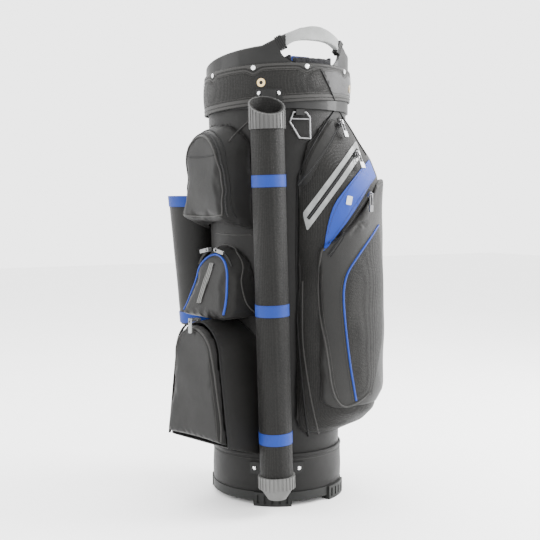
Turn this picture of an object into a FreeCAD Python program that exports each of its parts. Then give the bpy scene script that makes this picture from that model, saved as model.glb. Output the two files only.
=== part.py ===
"""A free-standing golf cart bag with an outside putter tube.

The bag is a stiffened fabric tube on a moulded base, with a moulded collar and carrying handle at the
top and fourteen full-length club compartments inside. Round it sit a putter tube, a towel ring, a tall
apparel pocket, a cooler pocket, an accessory pocket, a ball pocket with a door that folds down, an
umbrella sleeve, a rear pocket and a spine pad with a grab handle.

Frame: millimetres, +Z up, origin on the floor at the centre of the base. -Y is the front, under the
carrying handle. Places round the bag are given by a bearing in degrees from the front, positive
towards +X, so bearing 90 is +X and bearing 180 is the spine.
"""

import FreeCAD, Part
import math
import os

from FreeCAD import Matrix, Vector

# ---------------------------------------------------------------- driving dimensions
UP = Vector(0, 0, 1)
ORIGIN = Vector(0, 0, 0)
FAR = 400.0                       # half size of the tools that trim a part

SHELL_LOW_Z, SHELL_TOP_Z = 26.0, 745.0
SHELL_LOW_R, SHELL_TOP_R = 119.5, 133.0   # the fabric tube is a slight cone
SHELL_WALL = 3.0

TRAY_R, TRAY_LOW_Z, TRAY_TOP_Z, TRAY_FLOOR = 125.5, 9.0, 26.0, 6.0
BOOT_R, BOOT_TOP_Z = 124.0, 98.0
FOOT_BEARINGS = (-34.0, 36.0, 143.0, 217.0)
FOOT_R, FOOT_TOP_Z, FOOT_HALF_ANGLE = 129.5, 25.8, 16.0

COLLAR_R, COLLAR_INNER_R, COLLAR_SKIRT_Z = 136.8, 129.0, 734.0
RIM_MID_Z, RIM_SLOPE = 827.0, 0.163       # the rim rises towards the front
CUFF_R = 141.0
CUFF_TOP_MID_Z, CUFF_TOP_SLOPE = 806.0, 0.073
CUFF_LOW_MID_Z, CUFF_LOW_SLOPE, CUFF_LOW_BEARING = 742.5, 0.0906, 60.0

HANDLE_TOP_Z, HOLE_TOP_Z, HOLE_LOW_Z, HOLE_HALF = 880.0, 860.0, 812.0, 62.0
GRIP_HALF, GRIP_SKIN = 56.0, 3.0

DIVIDER_X = 43.0                          # two long dividers, at -X and +X of this
MIDDLE_ROWS = (-84.0, -42.0, 0.0, 42.0, 84.0)
OUTER_ROWS = (-52.0, 0.0, 52.0)
BAR, PANEL = 8.0, 2.0
BAR_TOP_MID_Z = 812.0
PANEL_LOW_Z = 28.0

TUBE_R, TUBE_BORE_R = 30.0, 27.0
TUBE_FOOT_Z, TUBE_MOUTH_Z = 53.0, 735.0
TUBE_FOOT_BEARING, TUBE_FOOT_OUT = -30.4, 160.5
TUBE_MOUTH_BEARING, TUBE_MOUTH_OUT = -36.3, 178.0
MOUTH_R, MOUTH_SLOPE, MOUTH_BEARING, MOUTH_SKIRT_Z = 33.0, 0.60, -20.0, 693.0
CUP_R, CUP_LOW_Z, CUP_TOP_Z = 34.0, 47.0, 70.0
BAND_HEIGHTS = (602.0, 372.0, 140.0)
BAND_TALL = 21.0

TOWEL_BEARING, TOWEL_OUT, TOWEL_PIN_Z, TOWEL_WIRE = -13.0, 137.8, 727.0, 1.8

# The apparel pocket is a second, smaller round form leaning out of the tube: height, offset, radius.
APRON_BEARING, APRON_REACH = 41.6, 88.0
APRON_STATIONS = ((119.0, 24.0, 95.0), (145.0, 66.0, 102.0), (175.0, 84.0, 108.0), (217.0, 88.0, 110.0),
                  (381.0, 88.0, 110.0), (526.0, 84.0, 109.5), (612.0, 84.0, 110.5), (648.0, 75.0, 106.5),
                  (691.0, 55.0, 101.0), (728.0, 34.0, 103.0))
DOOR_FACING, STRIP_FACING = 21.0, -15.0
DOOR_THICK = 11.0

COOLER_BEARING, COOLER_OUT = -85.0, 172.0
ACCESSORY_BEARING, ACCESSORY_OUT, ACCESSORY_LEAN = -79.0, 150.0, 0.30
BALL_BEARING, BALL_CASE_OUT, BALL_OUT = -77.0, 196.0, 210.0
BALL_FACE = (86.0, 62.0, 125.0, 347.0)    # half width low, half width high, low z, high z
BALL_WALL = 3.0
REAR_BEARING, REAR_OUT = 132.0, 163.0
SLEEVE_BEARING = -133.0
SPINE_BEARING = 180.0


# ---------------------------------------------------------------- helpers
def bearing(angle, out, z=0.0):
    """The point at this bearing, this far from the bag's axis."""
    a = math.radians(angle)
    return Vector(out * math.sin(a), -out * math.cos(a), z)


def shell_r(z):
    """Outer radius of the fabric tube at a height."""
    share = (z - SHELL_LOW_Z) / (SHELL_TOP_Z - SHELL_LOW_Z)
    return SHELL_LOW_R + share * (SHELL_TOP_R - SHELL_LOW_R)


def turned(shape, angle):
    """A copy of a shape made facing the front, turned to a bearing."""
    copy = shape.copy()
    copy.rotate(ORIGIN, UP, angle)
    return copy


def moved(shape, vector):
    copy = shape.copy()
    copy.translate(vector)
    return copy


def ring(inner, outer, low, high):
    return Part.makeCylinder(outer, high - low, Vector(0, 0, low)).cut(
        Part.makeCylinder(inner, high - low, Vector(0, 0, low)))


def block(x, y, z):
    """A box from its (low, high) limits along each axis."""
    return Part.makeBox(x[1] - x[0], y[1] - y[0], z[1] - z[0], Vector(x[0], y[0], z[0]))


def rod(start, end, radius):
    return Part.makeCylinder(radius, (end - start).Length, start, end - start)


def group(solids):
    return Part.Compound([s for shape in solids for s in shape.Solids])


def joined(solids):
    whole = solids[0].fuse(list(solids[1:]))
    return whole.removeSplitter()


def shell_cone(extra=0.0, low=SHELL_LOW_Z, high=SHELL_TOP_Z):
    """The fabric tube's outer form as a plain solid, grown by extra."""
    return Part.makeCone(shell_r(low) + extra, shell_r(high) + extra, high - low, Vector(0, 0, low))


def outside_core(shape):
    """Trims what lies inside the tube, the boot and the collar, so that a pocket lies against them."""
    core = shell_cone(0.0, -40.0, COLLAR_SKIRT_Z)
    boot = Part.makeCylinder(BOOT_R, BOOT_TOP_Z, ORIGIN)
    head = Part.makeCylinder(CUFF_R, 260.0, Vector(0, 0, COLLAR_SKIRT_Z - 6.0))
    return shape.cut(core).cut(boot).cut(head)


def above(mid, slope=0.0, angle=0.0):
    """Everything above a plane at height mid on the axis, rising towards a bearing."""
    rise = slope * FAR
    points = [Vector(-FAR, -FAR, mid + rise), Vector(-FAR, FAR, mid - rise),
              Vector(-FAR, FAR, mid + 2 * FAR), Vector(-FAR, -FAR, mid + 2 * FAR)]
    return turned(face_of(points).extrude(Vector(2 * FAR, 0, 0)), angle)


def face_of(points):
    return Part.Face(Part.makePolygon(points + [points[0]]))


def curve_face(points):
    """A face inside one smooth closed curve through points (x, z), in the XZ plane."""
    curve = Part.BSplineCurve()
    curve.interpolate([Vector(x, 0, z) for x, z in points], PeriodicFlag=True)
    return Part.Face(Part.Wire(curve.toShape()))


def rounded_face(points, radius):
    """A face in the XZ plane with straight sides and each corner rounded."""
    corners = [Vector(x, 0, z) for x, z in points]
    edges, last = [], None
    first = None
    for i, corner in enumerate(corners):
        before = (corners[i - 1] - corner).normalize()
        after = (corners[(i + 1) % len(corners)] - corner).normalize()
        half = before.getAngle(after) / 2
        reach = radius / math.tan(half)
        start, end = corner + before * reach, corner + after * reach
        inward = (before + after).normalize()
        middle = corner + inward * (radius / math.sin(half) - radius)
        if last is not None:
            edges.append(Part.makeLine(last, start))
        else:
            first = start
        edges.append(Part.Arc(start, middle, end).toShape())
        last = end
    edges.append(Part.makeLine(last, first))
    return Part.Face(Part.Wire(edges))


def strip_points(start, end, width):
    """The corners of a straight strip from (x, z) to (x, z)."""
    dx, dz = end[0] - start[0], end[1] - start[1]
    length = math.hypot(dx, dz)
    nx, nz = -dz / length * width / 2, dx / length * width / 2
    return [(start[0] + nx, start[1] + nz), (end[0] + nx, end[1] + nz),
            (end[0] - nx, end[1] - nz), (start[0] - nx, start[1] - nz)]


def arched_wire(half_low, half_high, low, high, depth):
    """A door shape facing the front: straight foot and sides and a round top. depth(z) is its y."""
    spring = high - half_high

    def at(x, z):
        return Vector(x, depth(z), z)

    return Part.Wire([
        Part.makeLine(at(-half_low, low), at(half_low, low)),
        Part.makeLine(at(half_low, low), at(half_high, spring)),
        Part.Arc(at(half_high, spring), at(0, high), at(-half_high, spring)).toShape(),
        Part.makeLine(at(-half_high, spring), at(-half_low, low)),
    ])


def arched_block(root, root_y, face, face_y):
    """A pocket lofted from its root outline, inside the bag, to its face outline."""
    wires = [arched_wire(*root, lambda z: root_y), arched_wire(*face, face_y)]
    return Part.makeLoft(wires, True, True)


def flat(y):
    return lambda z: y


# ---------------------------------------------------------------- base
def base_tray():
    """Moulded tray: a floor that the tube stands on, a skirt, ribs and a boss that meets the floor."""
    floor = Part.makeCylinder(TRAY_R, TRAY_FLOOR, Vector(0, 0, TRAY_TOP_Z - TRAY_FLOOR))
    skirt = ring(TRAY_R - 6, TRAY_R, TRAY_LOW_Z, TRAY_TOP_Z - TRAY_FLOOR)
    boss = ring(24, 34, 0, TRAY_TOP_Z - TRAY_FLOOR)
    ribs = [turned(block((-1.5, 1.5), (-TRAY_R + 5, -33), (12, TRAY_TOP_Z - TRAY_FLOOR)), a)
            for a in range(0, 360, 45)]
    return joined([floor, skirt, boss] + ribs)


def base_feet():
    """Four moulded feet that clip round the tray's skirt, each with five slots in its face."""
    angle = 2 * FOOT_HALF_ANGLE
    wedge = Part.makeCylinder(FOOT_R, FOOT_TOP_Z, ORIGIN, UP, angle)
    wedge = wedge.cut(Part.makeCylinder(FOOT_R - 18, FOOT_TOP_Z, ORIGIN))
    wedge.rotate(ORIGIN, UP, -90 - FOOT_HALF_ANGLE)
    for turn in (-12, -6, 0, 6, 12):
        slot = block((-2.2, 2.2), (-FOOT_R - 2, -FOOT_R + 3), (5, 21))
        wedge = wedge.cut(turned(slot, turn))
    tray = base_tray()
    return group([turned(wedge, a).cut(tray) for a in FOOT_BEARINGS])


def base_boot():
    """Padded fabric sleeve round the foot of the tube."""
    outer = Part.makeCylinder(BOOT_R, BOOT_TOP_Z - TRAY_TOP_Z, Vector(0, 0, TRAY_TOP_Z))
    return outer.cut(shell_cone(0.0, 0.0, 200.0))


# ---------------------------------------------------------------- tube, stays and collar
def body_shell():
    """The bag's stiffened fabric tube, open at the top."""
    return shell_cone().cut(shell_cone(-SHELL_WALL))


def stay_rods():
    """Four glass-fibre rods that hold the collar off the base."""
    return group([rod(bearing(a, 112.5, TRAY_TOP_Z + 0.2), bearing(a, 126.2, 773.0), 2.5)
                  for a in (-75, 75, 105, 255)])


def arch_profile(lift=0.0, half=None):
    """The area under the handle's back, in the XZ plane."""
    points = [Vector(x, 0, z + lift) for x, z in
              ((-118, 815), (-98, 838), (-60, 861), (-28, 875), (0, HANDLE_TOP_Z),
               (28, 875), (60, 861), (98, 838), (118, 815))]
    curve = Part.BSplineCurve()
    curve.interpolate(points)
    face = Part.Face(Part.Wire([curve.toShape(), Part.makeLine(points[-1], points[0])]))
    solid = moved(face, Vector(0, -150, 0)).extrude(Vector(0, 130, 0))
    if half is not None:
        solid = solid.common(block((-half, half), (-150, -20), (700, 950)))
    return solid


def handle_hole(shrink=0.0):
    """The hand hole under the handle, as a prism through the collar's front."""
    half, top, low = HOLE_HALF - shrink, HOLE_TOP_Z - shrink, HOLE_LOW_Z
    points = [(-half, 839), (-46, top - 7), (0, top), (46, top - 7), (half, 839),
              (52, low + 9), (34, low), (-34, low), (-52, low + 9)]
    return moved(curve_face(points), Vector(0, -150, 0)).extrude(Vector(0, 130, 0))


def top_collar():
    """Moulded collar: skirt over the tube, slanted rim and the handle's arch with its hand hole."""
    skirt = ring(SHELL_TOP_R + 0.3, COLLAR_R, COLLAR_SKIRT_Z, SHELL_TOP_Z)
    wall = ring(COLLAR_INNER_R, COLLAR_R, SHELL_TOP_Z, 900)
    rim = wall.cut(above(RIM_MID_Z, RIM_SLOPE))
    arch = wall.common(arch_profile())
    return joined([skirt, rim, arch]).cut(handle_hole())


def handle_grip():
    """Soft grip moulded round the arch."""
    sleeve = ring(COLLAR_INNER_R - GRIP_SKIN, COLLAR_R + GRIP_SKIN, 835, 900)
    body = sleeve.common(arch_profile(2.5, GRIP_HALF)).cut(handle_hole(GRIP_SKIN))
    return body.cut(arch_profile().common(ring(COLLAR_INNER_R, COLLAR_R, 800, 900)).cut(handle_hole()))


def sill_pad():
    """Fleece roll along the foot of the hand hole."""
    wall = ring(COLLAR_INNER_R - 3, COLLAR_R - 0.3, HOLE_LOW_Z + 0.3, HOLE_LOW_Z + 14)
    return wall.common(block((-38.5, 38.5), (-150, -100), (800, 840))).cut(top_collar())


def top_cuff():
    """Padded fabric band sewn round the collar."""
    band = ring(COLLAR_R, CUFF_R, 700, 850)
    band = band.cut(above(CUFF_TOP_MID_Z, CUFF_TOP_SLOPE))
    return band.common(above(CUFF_LOW_MID_Z, CUFF_LOW_SLOPE, CUFF_LOW_BEARING))


def stud(angle, out, z, radius, height):
    """A low domed rivet head standing on a wall at a bearing."""
    outward = bearing(angle, 1.0)
    foot = bearing(angle, out, z)
    disc = Part.makeCylinder(radius, height * 0.5, foot, outward)
    dome = Part.makeCone(radius, radius * 0.55, height * 0.5, foot + outward * height * 0.5, outward)
    return joined([disc, dome])


def cuff_rivets():
    """Nine rivets that hold the cuff to the collar, just below its top edge."""
    heads = []
    for k in range(9):
        a = -48.0 + 40.0 * k
        z = CUFF_TOP_MID_Z + CUFF_TOP_SLOPE * CUFF_R * math.cos(math.radians(a)) - 7.0
        heads.append(stud(a, CUFF_R, z, 4.2, 2.6))
    return group(heads)


def cuff_eyelets():
    """Four press-stud sockets for the rain hood."""
    rings = []
    for a in (-42.0, 45.0, 138.0, 222.0):
        outward = bearing(a, 1.0)
        foot = bearing(a, CUFF_R - 0.4, 779.0)
        disc = Part.makeCylinder(7.6, 2.2, foot, outward)
        hole = Part.makeCylinder(3.4, 6.0, foot + outward * 0.8, outward)
        rings.append(disc.cut(hole).cut(Part.makeCylinder(CUFF_R, 80, Vector(0, 0, 740))))
    return group(rings)


# ---------------------------------------------------------------- club dividers
def bar_top(y):
    return BAR_TOP_MID_Z - RIM_SLOPE * y


def long_bar(x, thick, low, top_of, reach_low, reach_top):
    """An upright divider along Y: its ends follow the taper and its top the rim."""
    bottom = [Vector(x - thick / 2, s * reach_low, low) for s in (-1, 1)]
    upper = [Vector(x - thick / 2, s * reach_top, top_of(s * reach_top)) for s in (1, -1)]
    return face_of(bottom + upper).extrude(Vector(thick, 0, 0))


def cross_bar(y, thick, low, top, x_low, x_top):
    """An upright divider along X between x limits at its foot and at its top."""
    points = [Vector(x_low[0], y - thick / 2, low), Vector(x_low[1], y - thick / 2, low),
              Vector(x_top[1], y - thick / 2, top), Vector(x_top[0], y - thick / 2, top)]
    return face_of(points).extrude(Vector(0, thick, 0))


def reach(radius, offset):
    return math.sqrt(radius ** 2 - offset ** 2)


def divider_set(thick, low, low_r, top_r):
    """All the dividers of one kind: two long ones, five between them and three at each side."""
    inner = DIVIDER_X - thick / 2
    outer = DIVIDER_X + thick / 2
    pieces = [long_bar(x, thick, low, lambda y: bar_top(y),
                       reach(low_r, outer), reach(top_r, outer)) for x in (-DIVIDER_X, DIVIDER_X)]
    for y in MIDDLE_ROWS:
        pieces.append(cross_bar(y, thick, low, bar_top(y), (-inner, inner), (-inner, inner)))
    for y in OUTER_ROWS:
        far = abs(y) + thick / 2
        limits = (outer, reach(low_r, far)), (outer, reach(top_r, far))
        top = bar_top(y)
        pieces.append(cross_bar(y, thick, low, top, *limits))
        pieces.append(cross_bar(y, thick, low, top, *[(-b, -a) for a, b in limits]))
    return group(pieces)


def divider_frame():
    """Moulded top grid with padded edges."""
    return divider_set(BAR, 786.0, COLLAR_INNER_R - 0.3, COLLAR_INNER_R - 0.3)


def divider_panels():
    """Full-length fabric dividers that hang below the grid."""
    low_r = shell_r(PANEL_LOW_Z) - SHELL_WALL - 1.0
    top_r = shell_r(740.0) - SHELL_WALL - 1.0
    panels = divider_set(PANEL, PANEL_LOW_Z, low_r, top_r)
    trim = block((-FAR, FAR), (-FAR, FAR), (740.0, 900.0))
    return group([s.cut(trim) for s in panels.Solids])


def divider_hangers():
    """Short webs that carry each fabric divider from its bar."""
    radius = COLLAR_INNER_R - 1.0
    webs = divider_set(PANEL, 740.0, radius, radius)
    trim = block((-FAR, FAR), (-FAR, FAR), (786.0, 950.0))
    return group([s.cut(trim) for s in webs.Solids])


def divider_trim():
    """Blue binding on the top of the front bar, inside the hand hole."""
    y = MIDDLE_ROWS[0]
    top = bar_top(y)
    points = [(-26, top), (26, top), (18, top + 9), (-18, top + 9)]
    face = Part.Face(Part.makePolygon([Vector(x, y - 3, z) for x, z in points + points[:1]]))
    return face.extrude(Vector(0, 6, 0))


# ---------------------------------------------------------------- putter tube
TUBE_FOOT = bearing(TUBE_FOOT_BEARING, TUBE_FOOT_OUT, TUBE_FOOT_Z)
TUBE_MOUTH = bearing(TUBE_MOUTH_BEARING, TUBE_MOUTH_OUT, TUBE_MOUTH_Z)
TUBE_AXIS = (TUBE_MOUTH - TUBE_FOOT).normalize()


def on_tube(z):
    """The point of the tube's axis at a height."""
    return TUBE_FOOT + TUBE_AXIS * ((z - TUBE_FOOT_Z) / TUBE_AXIS.z)


def tube_piece(radius, low, high):
    return rod(on_tube(low), on_tube(high), radius)


def mouth_plane():
    """What lies above the tube's slanted mouth."""
    cutter = above(0.0, -MOUTH_SLOPE, MOUTH_BEARING)
    return moved(cutter, TUBE_MOUTH)


def ribbed(shape, radius, low, high, count):
    """Cuts upright grooves round a ring that stands on the tube's axis."""
    turn = FreeCAD.Placement(on_tube(low), FreeCAD.Rotation(UP, TUBE_AXIS)).toMatrix()
    groove = block((-1.7, 1.7), (radius - 1.1, radius + 1.9), (0, high - low))
    grooves = [turned(groove, 360.0 * k / count).transformGeometry(turn) for k in range(count)]
    return shape.cut(grooves)


def putter_tube():
    """Fabric-covered tube that holds one putter."""
    outer = tube_piece(TUBE_R, TUBE_FOOT_Z, 780.0).cut(tube_piece(TUBE_BORE_R, 40.0, 800.0))
    return outer.cut(mouth_plane())


def mouth_ring():
    """Ribbed ring on the tube's mouth."""
    outer = tube_piece(MOUTH_R, MOUTH_SKIRT_Z, 780.0).cut(tube_piece(TUBE_R, 600.0, 800.0))
    return ribbed(outer.cut(mouth_plane()), MOUTH_R, MOUTH_SKIRT_Z, 780.0, 28)


def tube_cup():
    """Ribbed cup that the tube's foot stands in, with the stem below it."""
    cup = tube_piece(CUP_R, CUP_LOW_Z, CUP_TOP_Z).cut(tube_piece(TUBE_R, TUBE_FOOT_Z, 90.0))
    cup = ribbed(cup, CUP_R, CUP_LOW_Z, CUP_TOP_Z, 28)
    stem = Part.makeCone(17.0, 31.0, (CUP_LOW_Z - 26.0) / TUBE_AXIS.z + 0.5, on_tube(26.0), TUBE_AXIS)
    return joined([cup, stem])


def tube_bands():
    """Three coloured bands round the tube."""
    bands = []
    for z in BAND_HEIGHTS:
        band = tube_piece(TUBE_R + 0.8, z - BAND_TALL / 2, z + BAND_TALL / 2)
        bands.append(band.cut(tube_piece(TUBE_R, z - 40, z + 40)))
    return group(bands)


def saddle(angle, inner, half_width, low, high, web_half, web_out, keep_clear):
    """A plate curved to a round wall, with a web that reaches out to the tube."""
    plate = ring(inner, inner + 2.6, low, high).common(
        block((-half_width, half_width), (-200, -60), (low, high)))
    web = block((-web_half, web_half), (-web_out, -inner - 1.5), (low + 3, high - 3))
    return turned(joined([plate, web]), angle).cut(keep_clear)


def top_bracket():
    """Bracket riveted to the cuff, holding the mouth ring."""
    clear = tube_piece(MOUTH_R, 600.0, 800.0)
    return saddle(TUBE_MOUTH_BEARING, CUFF_R + 0.2, 24.0, 744.0, 768.0, 13.0, 156.0, clear)


def top_bracket_rivets():
    return group([stud(TUBE_MOUTH_BEARING + s * 7.0, CUFF_R + 2.8, 760.0, 3.4, 2.4) for s in (-1, 1)])


def cup_bracket():
    """Bracket screwed to the boot, holding the cup."""
    clear = tube_piece(CUP_R, 0.0, 120.0)
    return saddle(TUBE_FOOT_BEARING, BOOT_R + 0.2, 50.0, 60.0, 82.0, 14.0, 140.0, clear)


def cup_bracket_screws():
    return group([stud(TUBE_FOOT_BEARING + s * 19.0, BOOT_R + 2.8, 71.0, 3.6, 2.0) for s in (-1, 1)])


# ---------------------------------------------------------------- towel ring
def towel_tab():
    """Moulded tab under the cuff, bored for the towel ring's bar."""
    tab = block((-8, 8), (-TOWEL_OUT - 4, -SHELL_TOP_R - 0.4), (TOWEL_PIN_Z - 5.5, TOWEL_PIN_Z + 5))
    bore = rod(Vector(-20, -TOWEL_OUT, TOWEL_PIN_Z), Vector(20, -TOWEL_OUT, TOWEL_PIN_Z), TOWEL_WIRE + 0.08)
    return turned(tab.cut(bore), TOWEL_BEARING)


def towel_ring():
    """Bent wire ring: a five-sided loop with a cross bar."""
    corners = [(-12, 0), (12, 0), (19, -9), (20, -47), (-1, -46), (-19, -18)]
    bar = ((-18, -12), (18.8, -12))

    def at(x, z):
        return Vector(x, -TOWEL_OUT, TOWEL_PIN_Z + z)

    pieces = [rod(at(*a), at(*b), TOWEL_WIRE) for a, b in zip(corners, corners[1:] + corners[:1])]
    pieces += [Part.makeSphere(TOWEL_WIRE, at(*c)) for c in corners]
    pieces.append(rod(at(*bar[0]), at(*bar[1]), TOWEL_WIRE - 0.3))
    return turned(joined(pieces), TOWEL_BEARING)


# ---------------------------------------------------------------- apparel pocket
def apron_at(z):
    """(offset, radius) of the apparel pocket's form at a height."""
    for (z0, o0, r0), (z1, o1, r1) in zip(APRON_STATIONS, APRON_STATIONS[1:]):
        if z <= z1:
            share = (z - z0) / (z1 - z0)
            return o0 + share * (o1 - o0), r0 + share * (r1 - r0)
    return APRON_STATIONS[-1][1:]


def apron_form(extra=0.0):
    wires = []
    for z, offset, radius in APRON_STATIONS:
        circle = Part.Circle(bearing(APRON_BEARING, offset, z), UP, radius + extra)
        wires.append(Part.Wire(circle.toShape()))
    return Part.makeLoft(wires, True, True)


def apron_patch(face, facing, inner, outer):
    """A piece that lies on the apparel pocket: an outline pressed along a bearing onto its form."""
    prism = moved(face, Vector(0, -260, 0)).extrude(Vector(0, 200, 0))
    prism = moved(turned(prism, facing), bearing(APRON_BEARING, APRON_REACH))
    skin = apron_form(outer).cut(apron_form(inner))
    return outside_core(skin.common(prism))


def apparel_pocket():
    """The tall pocket's body."""
    return outside_core(apron_form())


def apparel_door():
    """The raised front panel of the tall pocket, zipped along its slanted top and its sides."""
    outline = [(-99, 478), (-93, 184), (40, 184), (100, 232), (100, 622), (30, 604)]
    return apron_patch(rounded_face(outline, 26.0), DOOR_FACING, 0.0, DOOR_THICK)


# Each zip runs straight across the pocket as seen from STRIP_FACING: start and end as (x, z), then how
# far it stands off the pocket's form.
ZIPS = {
    "upper": ((-70, 596), (24, 721), 0.0),
    "dry": ((-59, 529), (51, 664), 0.0),
    "lower": ((-22, 468), (68, 588), DOOR_THICK),
}
ZIP_THICK = 1.4


def zip_strip(name, width):
    start, end, base = ZIPS[name]
    outline = face_of([Vector(x, 0, z) for x, z in strip_points(start, end, width)])
    return apron_patch(outline, STRIP_FACING, base, base + ZIP_THICK)


def upper_zip_track():
    """Zip of the valuables pocket, highest on the tall pocket."""
    return zip_strip("upper", 8)


def dry_pocket_strip():
    """Welded waterproof zip strip of the dry pocket."""
    return zip_strip("dry", 19)


def lower_zip_track():
    """Zip along the slanted top of the tall pocket's door."""
    return zip_strip("lower", 8)


# ---------------------------------------------------------------- zip sliders
def local_matrix(origin, along, outward):
    """Carries x along, z outward and y across, at a point."""
    z = Vector(outward).normalize()
    x = (along - z * along.dot(z)).normalize()
    y = z.cross(x)
    return Matrix(x.x, y.x, z.x, origin.x, x.y, y.y, z.y, origin.y, x.z, y.z, z.z, origin.z, 0, 0, 0, 1)


def round_plate(x, y, z, radius):
    """A plate with its upright edges rounded."""
    plate = block(x, y, z)
    return plate.makeFillet(radius, [e for e in plate.Edges if abs(e.tangentAt(e.FirstParameter).z) > 0.9])


SLIDER_LONG, SLIDER_WIDE, SLIDER_THICK, SLIDER_GAP = 13.0, 9.0, 4.0, 1.1
PULL_EYE, PULL_LONG, PULL_WIRE = 5.6, 27.0, 1.1
REST_SHARE, END_SHARE = 0.91, 0.72


def zip_slider(origin, along, outward, down):
    """Slider body with the bridge that its pull hangs from. It stands on the zip at origin."""
    body = round_plate((-SLIDER_LONG / 2, SLIDER_LONG / 2), (-SLIDER_WIDE / 2, SLIDER_WIDE / 2),
                       (0, SLIDER_THICK), 1.6)
    top = PULL_EYE + 1.4
    posts = [block((x - 1, x + 1), (-1.5, 1.5), (SLIDER_THICK - 1, top)) for x in (-3.4, 3.4)]
    bridge = joined(posts + [block((-4.4, 4.4), (-1.5, 1.5), (top, top + 1.4))])
    body = body.transformGeometry(local_matrix(origin, along, outward))
    return joined([body, bridge.transformGeometry(local_matrix(origin, down, outward))])


def zip_pull(origin, down, outward):
    """Long wire loop with a moulded tip. Its eye sits under the bridge, on the hinge line."""
    rim = [(0, -3.2), (0, 3.2), (PULL_LONG, 3.6), (PULL_LONG, -3.6)]
    pieces = [rod(Vector(*a, 0), Vector(*b, 0), PULL_WIRE) for a, b in zip(rim, rim[1:] + rim[:1])]
    pieces += [Part.makeSphere(PULL_WIRE, Vector(*corner, 0)) for corner in rim]
    pieces.append(round_plate((PULL_LONG - 9, PULL_LONG + 3), (-4.8, 4.8), (-1.4, 1.4), 1.2))
    return joined(pieces).transformGeometry(local_matrix(origin, down, outward))


def zip_point(name, share, lift=0.0):
    """A point on a zip's middle line, lifted off the apparel pocket's form."""
    (x0, z0), (x1, z1), base = ZIPS[name]
    return strip_point(x0 + (x1 - x0) * share, z0 + (z1 - z0) * share, base + lift)


def strip_point(x, z, extra):
    """Where (x, z), seen from STRIP_FACING, lands on the apparel pocket's form grown by extra."""
    offset, radius = apron_at(z)
    across, outward = bearing(STRIP_FACING + 90.0, 1.0), bearing(STRIP_FACING, 1.0)
    centre = bearing(APRON_BEARING, offset, z)
    side = (bearing(APRON_BEARING, APRON_REACH, z) + across * x - centre).dot(across)
    return centre + across * side + outward * math.sqrt((radius + extra) ** 2 - side ** 2)


def circle_through(a, b, c):
    """Centre and axis of the circle through three points, turning from the first to the last."""
    ab, ac = b - a, c - a
    axis = ab.cross(ac)
    centre = a + (axis.cross(ab) * ac.dot(ac) + ac.cross(axis) * ab.dot(ab)) * (0.5 / axis.dot(axis))
    return centre, axis.normalize()


def zip_run(name):
    """A slider's round of its zip: (place, along, outward, down, centre, axis, degrees)."""
    lift = ZIP_THICK + SLIDER_GAP
    (x0, z0), (x1, z1), base = ZIPS[name]
    x, z = x0 + (x1 - x0) * REST_SHARE, z0 + (z1 - z0) * REST_SHARE
    place = zip_point(name, REST_SHARE, lift)
    middle, last = zip_point(name, (REST_SHARE + END_SHARE) / 2, lift), zip_point(name, END_SHARE, lift)
    centre, axis = circle_through(place, middle, last)
    along = axis.cross(place - centre).normalize()
    across = strip_point(x + 1, z, base) - strip_point(x - 1, z, base)
    rise = strip_point(x, z + 2, base) - strip_point(x, z - 2, base)
    outward = across.cross(rise)
    outward = (outward - along * outward.dot(along)).normalize()
    down = UP * -1.0 + outward * outward.z
    degrees = 2 * math.degrees(math.asin((last - place).Length / (2 * (place - centre).Length)))
    return place, along, outward, down.normalize(), centre, axis, degrees


def pull_hinge(place, outward):
    return place + outward * PULL_EYE


# A forked pull straddles a nose on its slider: its pin turns in the nose.
NOSE_HALF, PIN_R, PIN_GAP, FORK_GAP, FORK_WALL = 1.9, 1.1, 0.06, 0.4, 1.2


def nose(origin, down, outward, foot, height):
    """A bored nose standing from foot to past height, where its pull's pin turns."""
    body = block((-2.3, 2.3), (-NOSE_HALF, NOSE_HALF), (foot, height + 2.3))
    body = body.cut(rod(Vector(0, -9, height), Vector(0, 9, height), PIN_R + PIN_GAP))
    return body.transformGeometry(local_matrix(origin, down, outward))


def forked_pull(origin, down, outward):
    """Moulded pull with a pin through its fork, at origin."""
    inner = NOSE_HALF + FORK_GAP
    outer = inner + FORK_WALL
    arms = [block((-1.6, 9), (min(a, b), max(a, b)), (-1.5, 1.5))
            for a, b in ((inner, outer), (-inner, -outer))]
    tip = round_plate((6, 25), (-outer, outer), (-1.5, 1.5), 1.2)
    pin = rod(Vector(0, -outer, 0), Vector(0, outer, 0), PIN_R)
    return joined(arms + [tip, pin]).transformGeometry(local_matrix(origin, down, outward))


# ---------------------------------------------------------------- pockets on the other side
def cooler_pocket():
    """Insulated pocket high on the side."""
    solid = arched_block((86, 80, 508, 742), -100.0, (70, 58, 536, 690), flat(-COOLER_OUT))
    return outside_core(turned(solid, COOLER_BEARING)).cut(sleeve_form(-0.5))


def accessory_face(z):
    return -(ACCESSORY_OUT + (474.0 - z) * ACCESSORY_LEAN)


def accessory_pocket():
    """Small pocket above the ball pocket, with a leaning face."""
    solid = arched_block((84, 66, 354, 506), -100.0, (66, 50, 354, 474), accessory_face)
    return outside_core(turned(solid, ACCESSORY_BEARING))


def arched_band(face, grow_in, grow_out, depth_low, depth_high):
    """A band that follows the sides and top of a door shape."""
    low_half, high_half, low, high = face

    def grown(g):
        wire = arched_wire(low_half + g, high_half + g, low - (g if g < 0 else 0), high + g, flat(0.0))
        return moved(Part.Face(wire), Vector(0, depth_low, 0)).extrude(Vector(0, depth_high - depth_low, 0))

    return grown(grow_out).cut(grown(grow_in)).cut(block((-200, 200), (-400, 0), (0, low + 2.0)))


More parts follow.
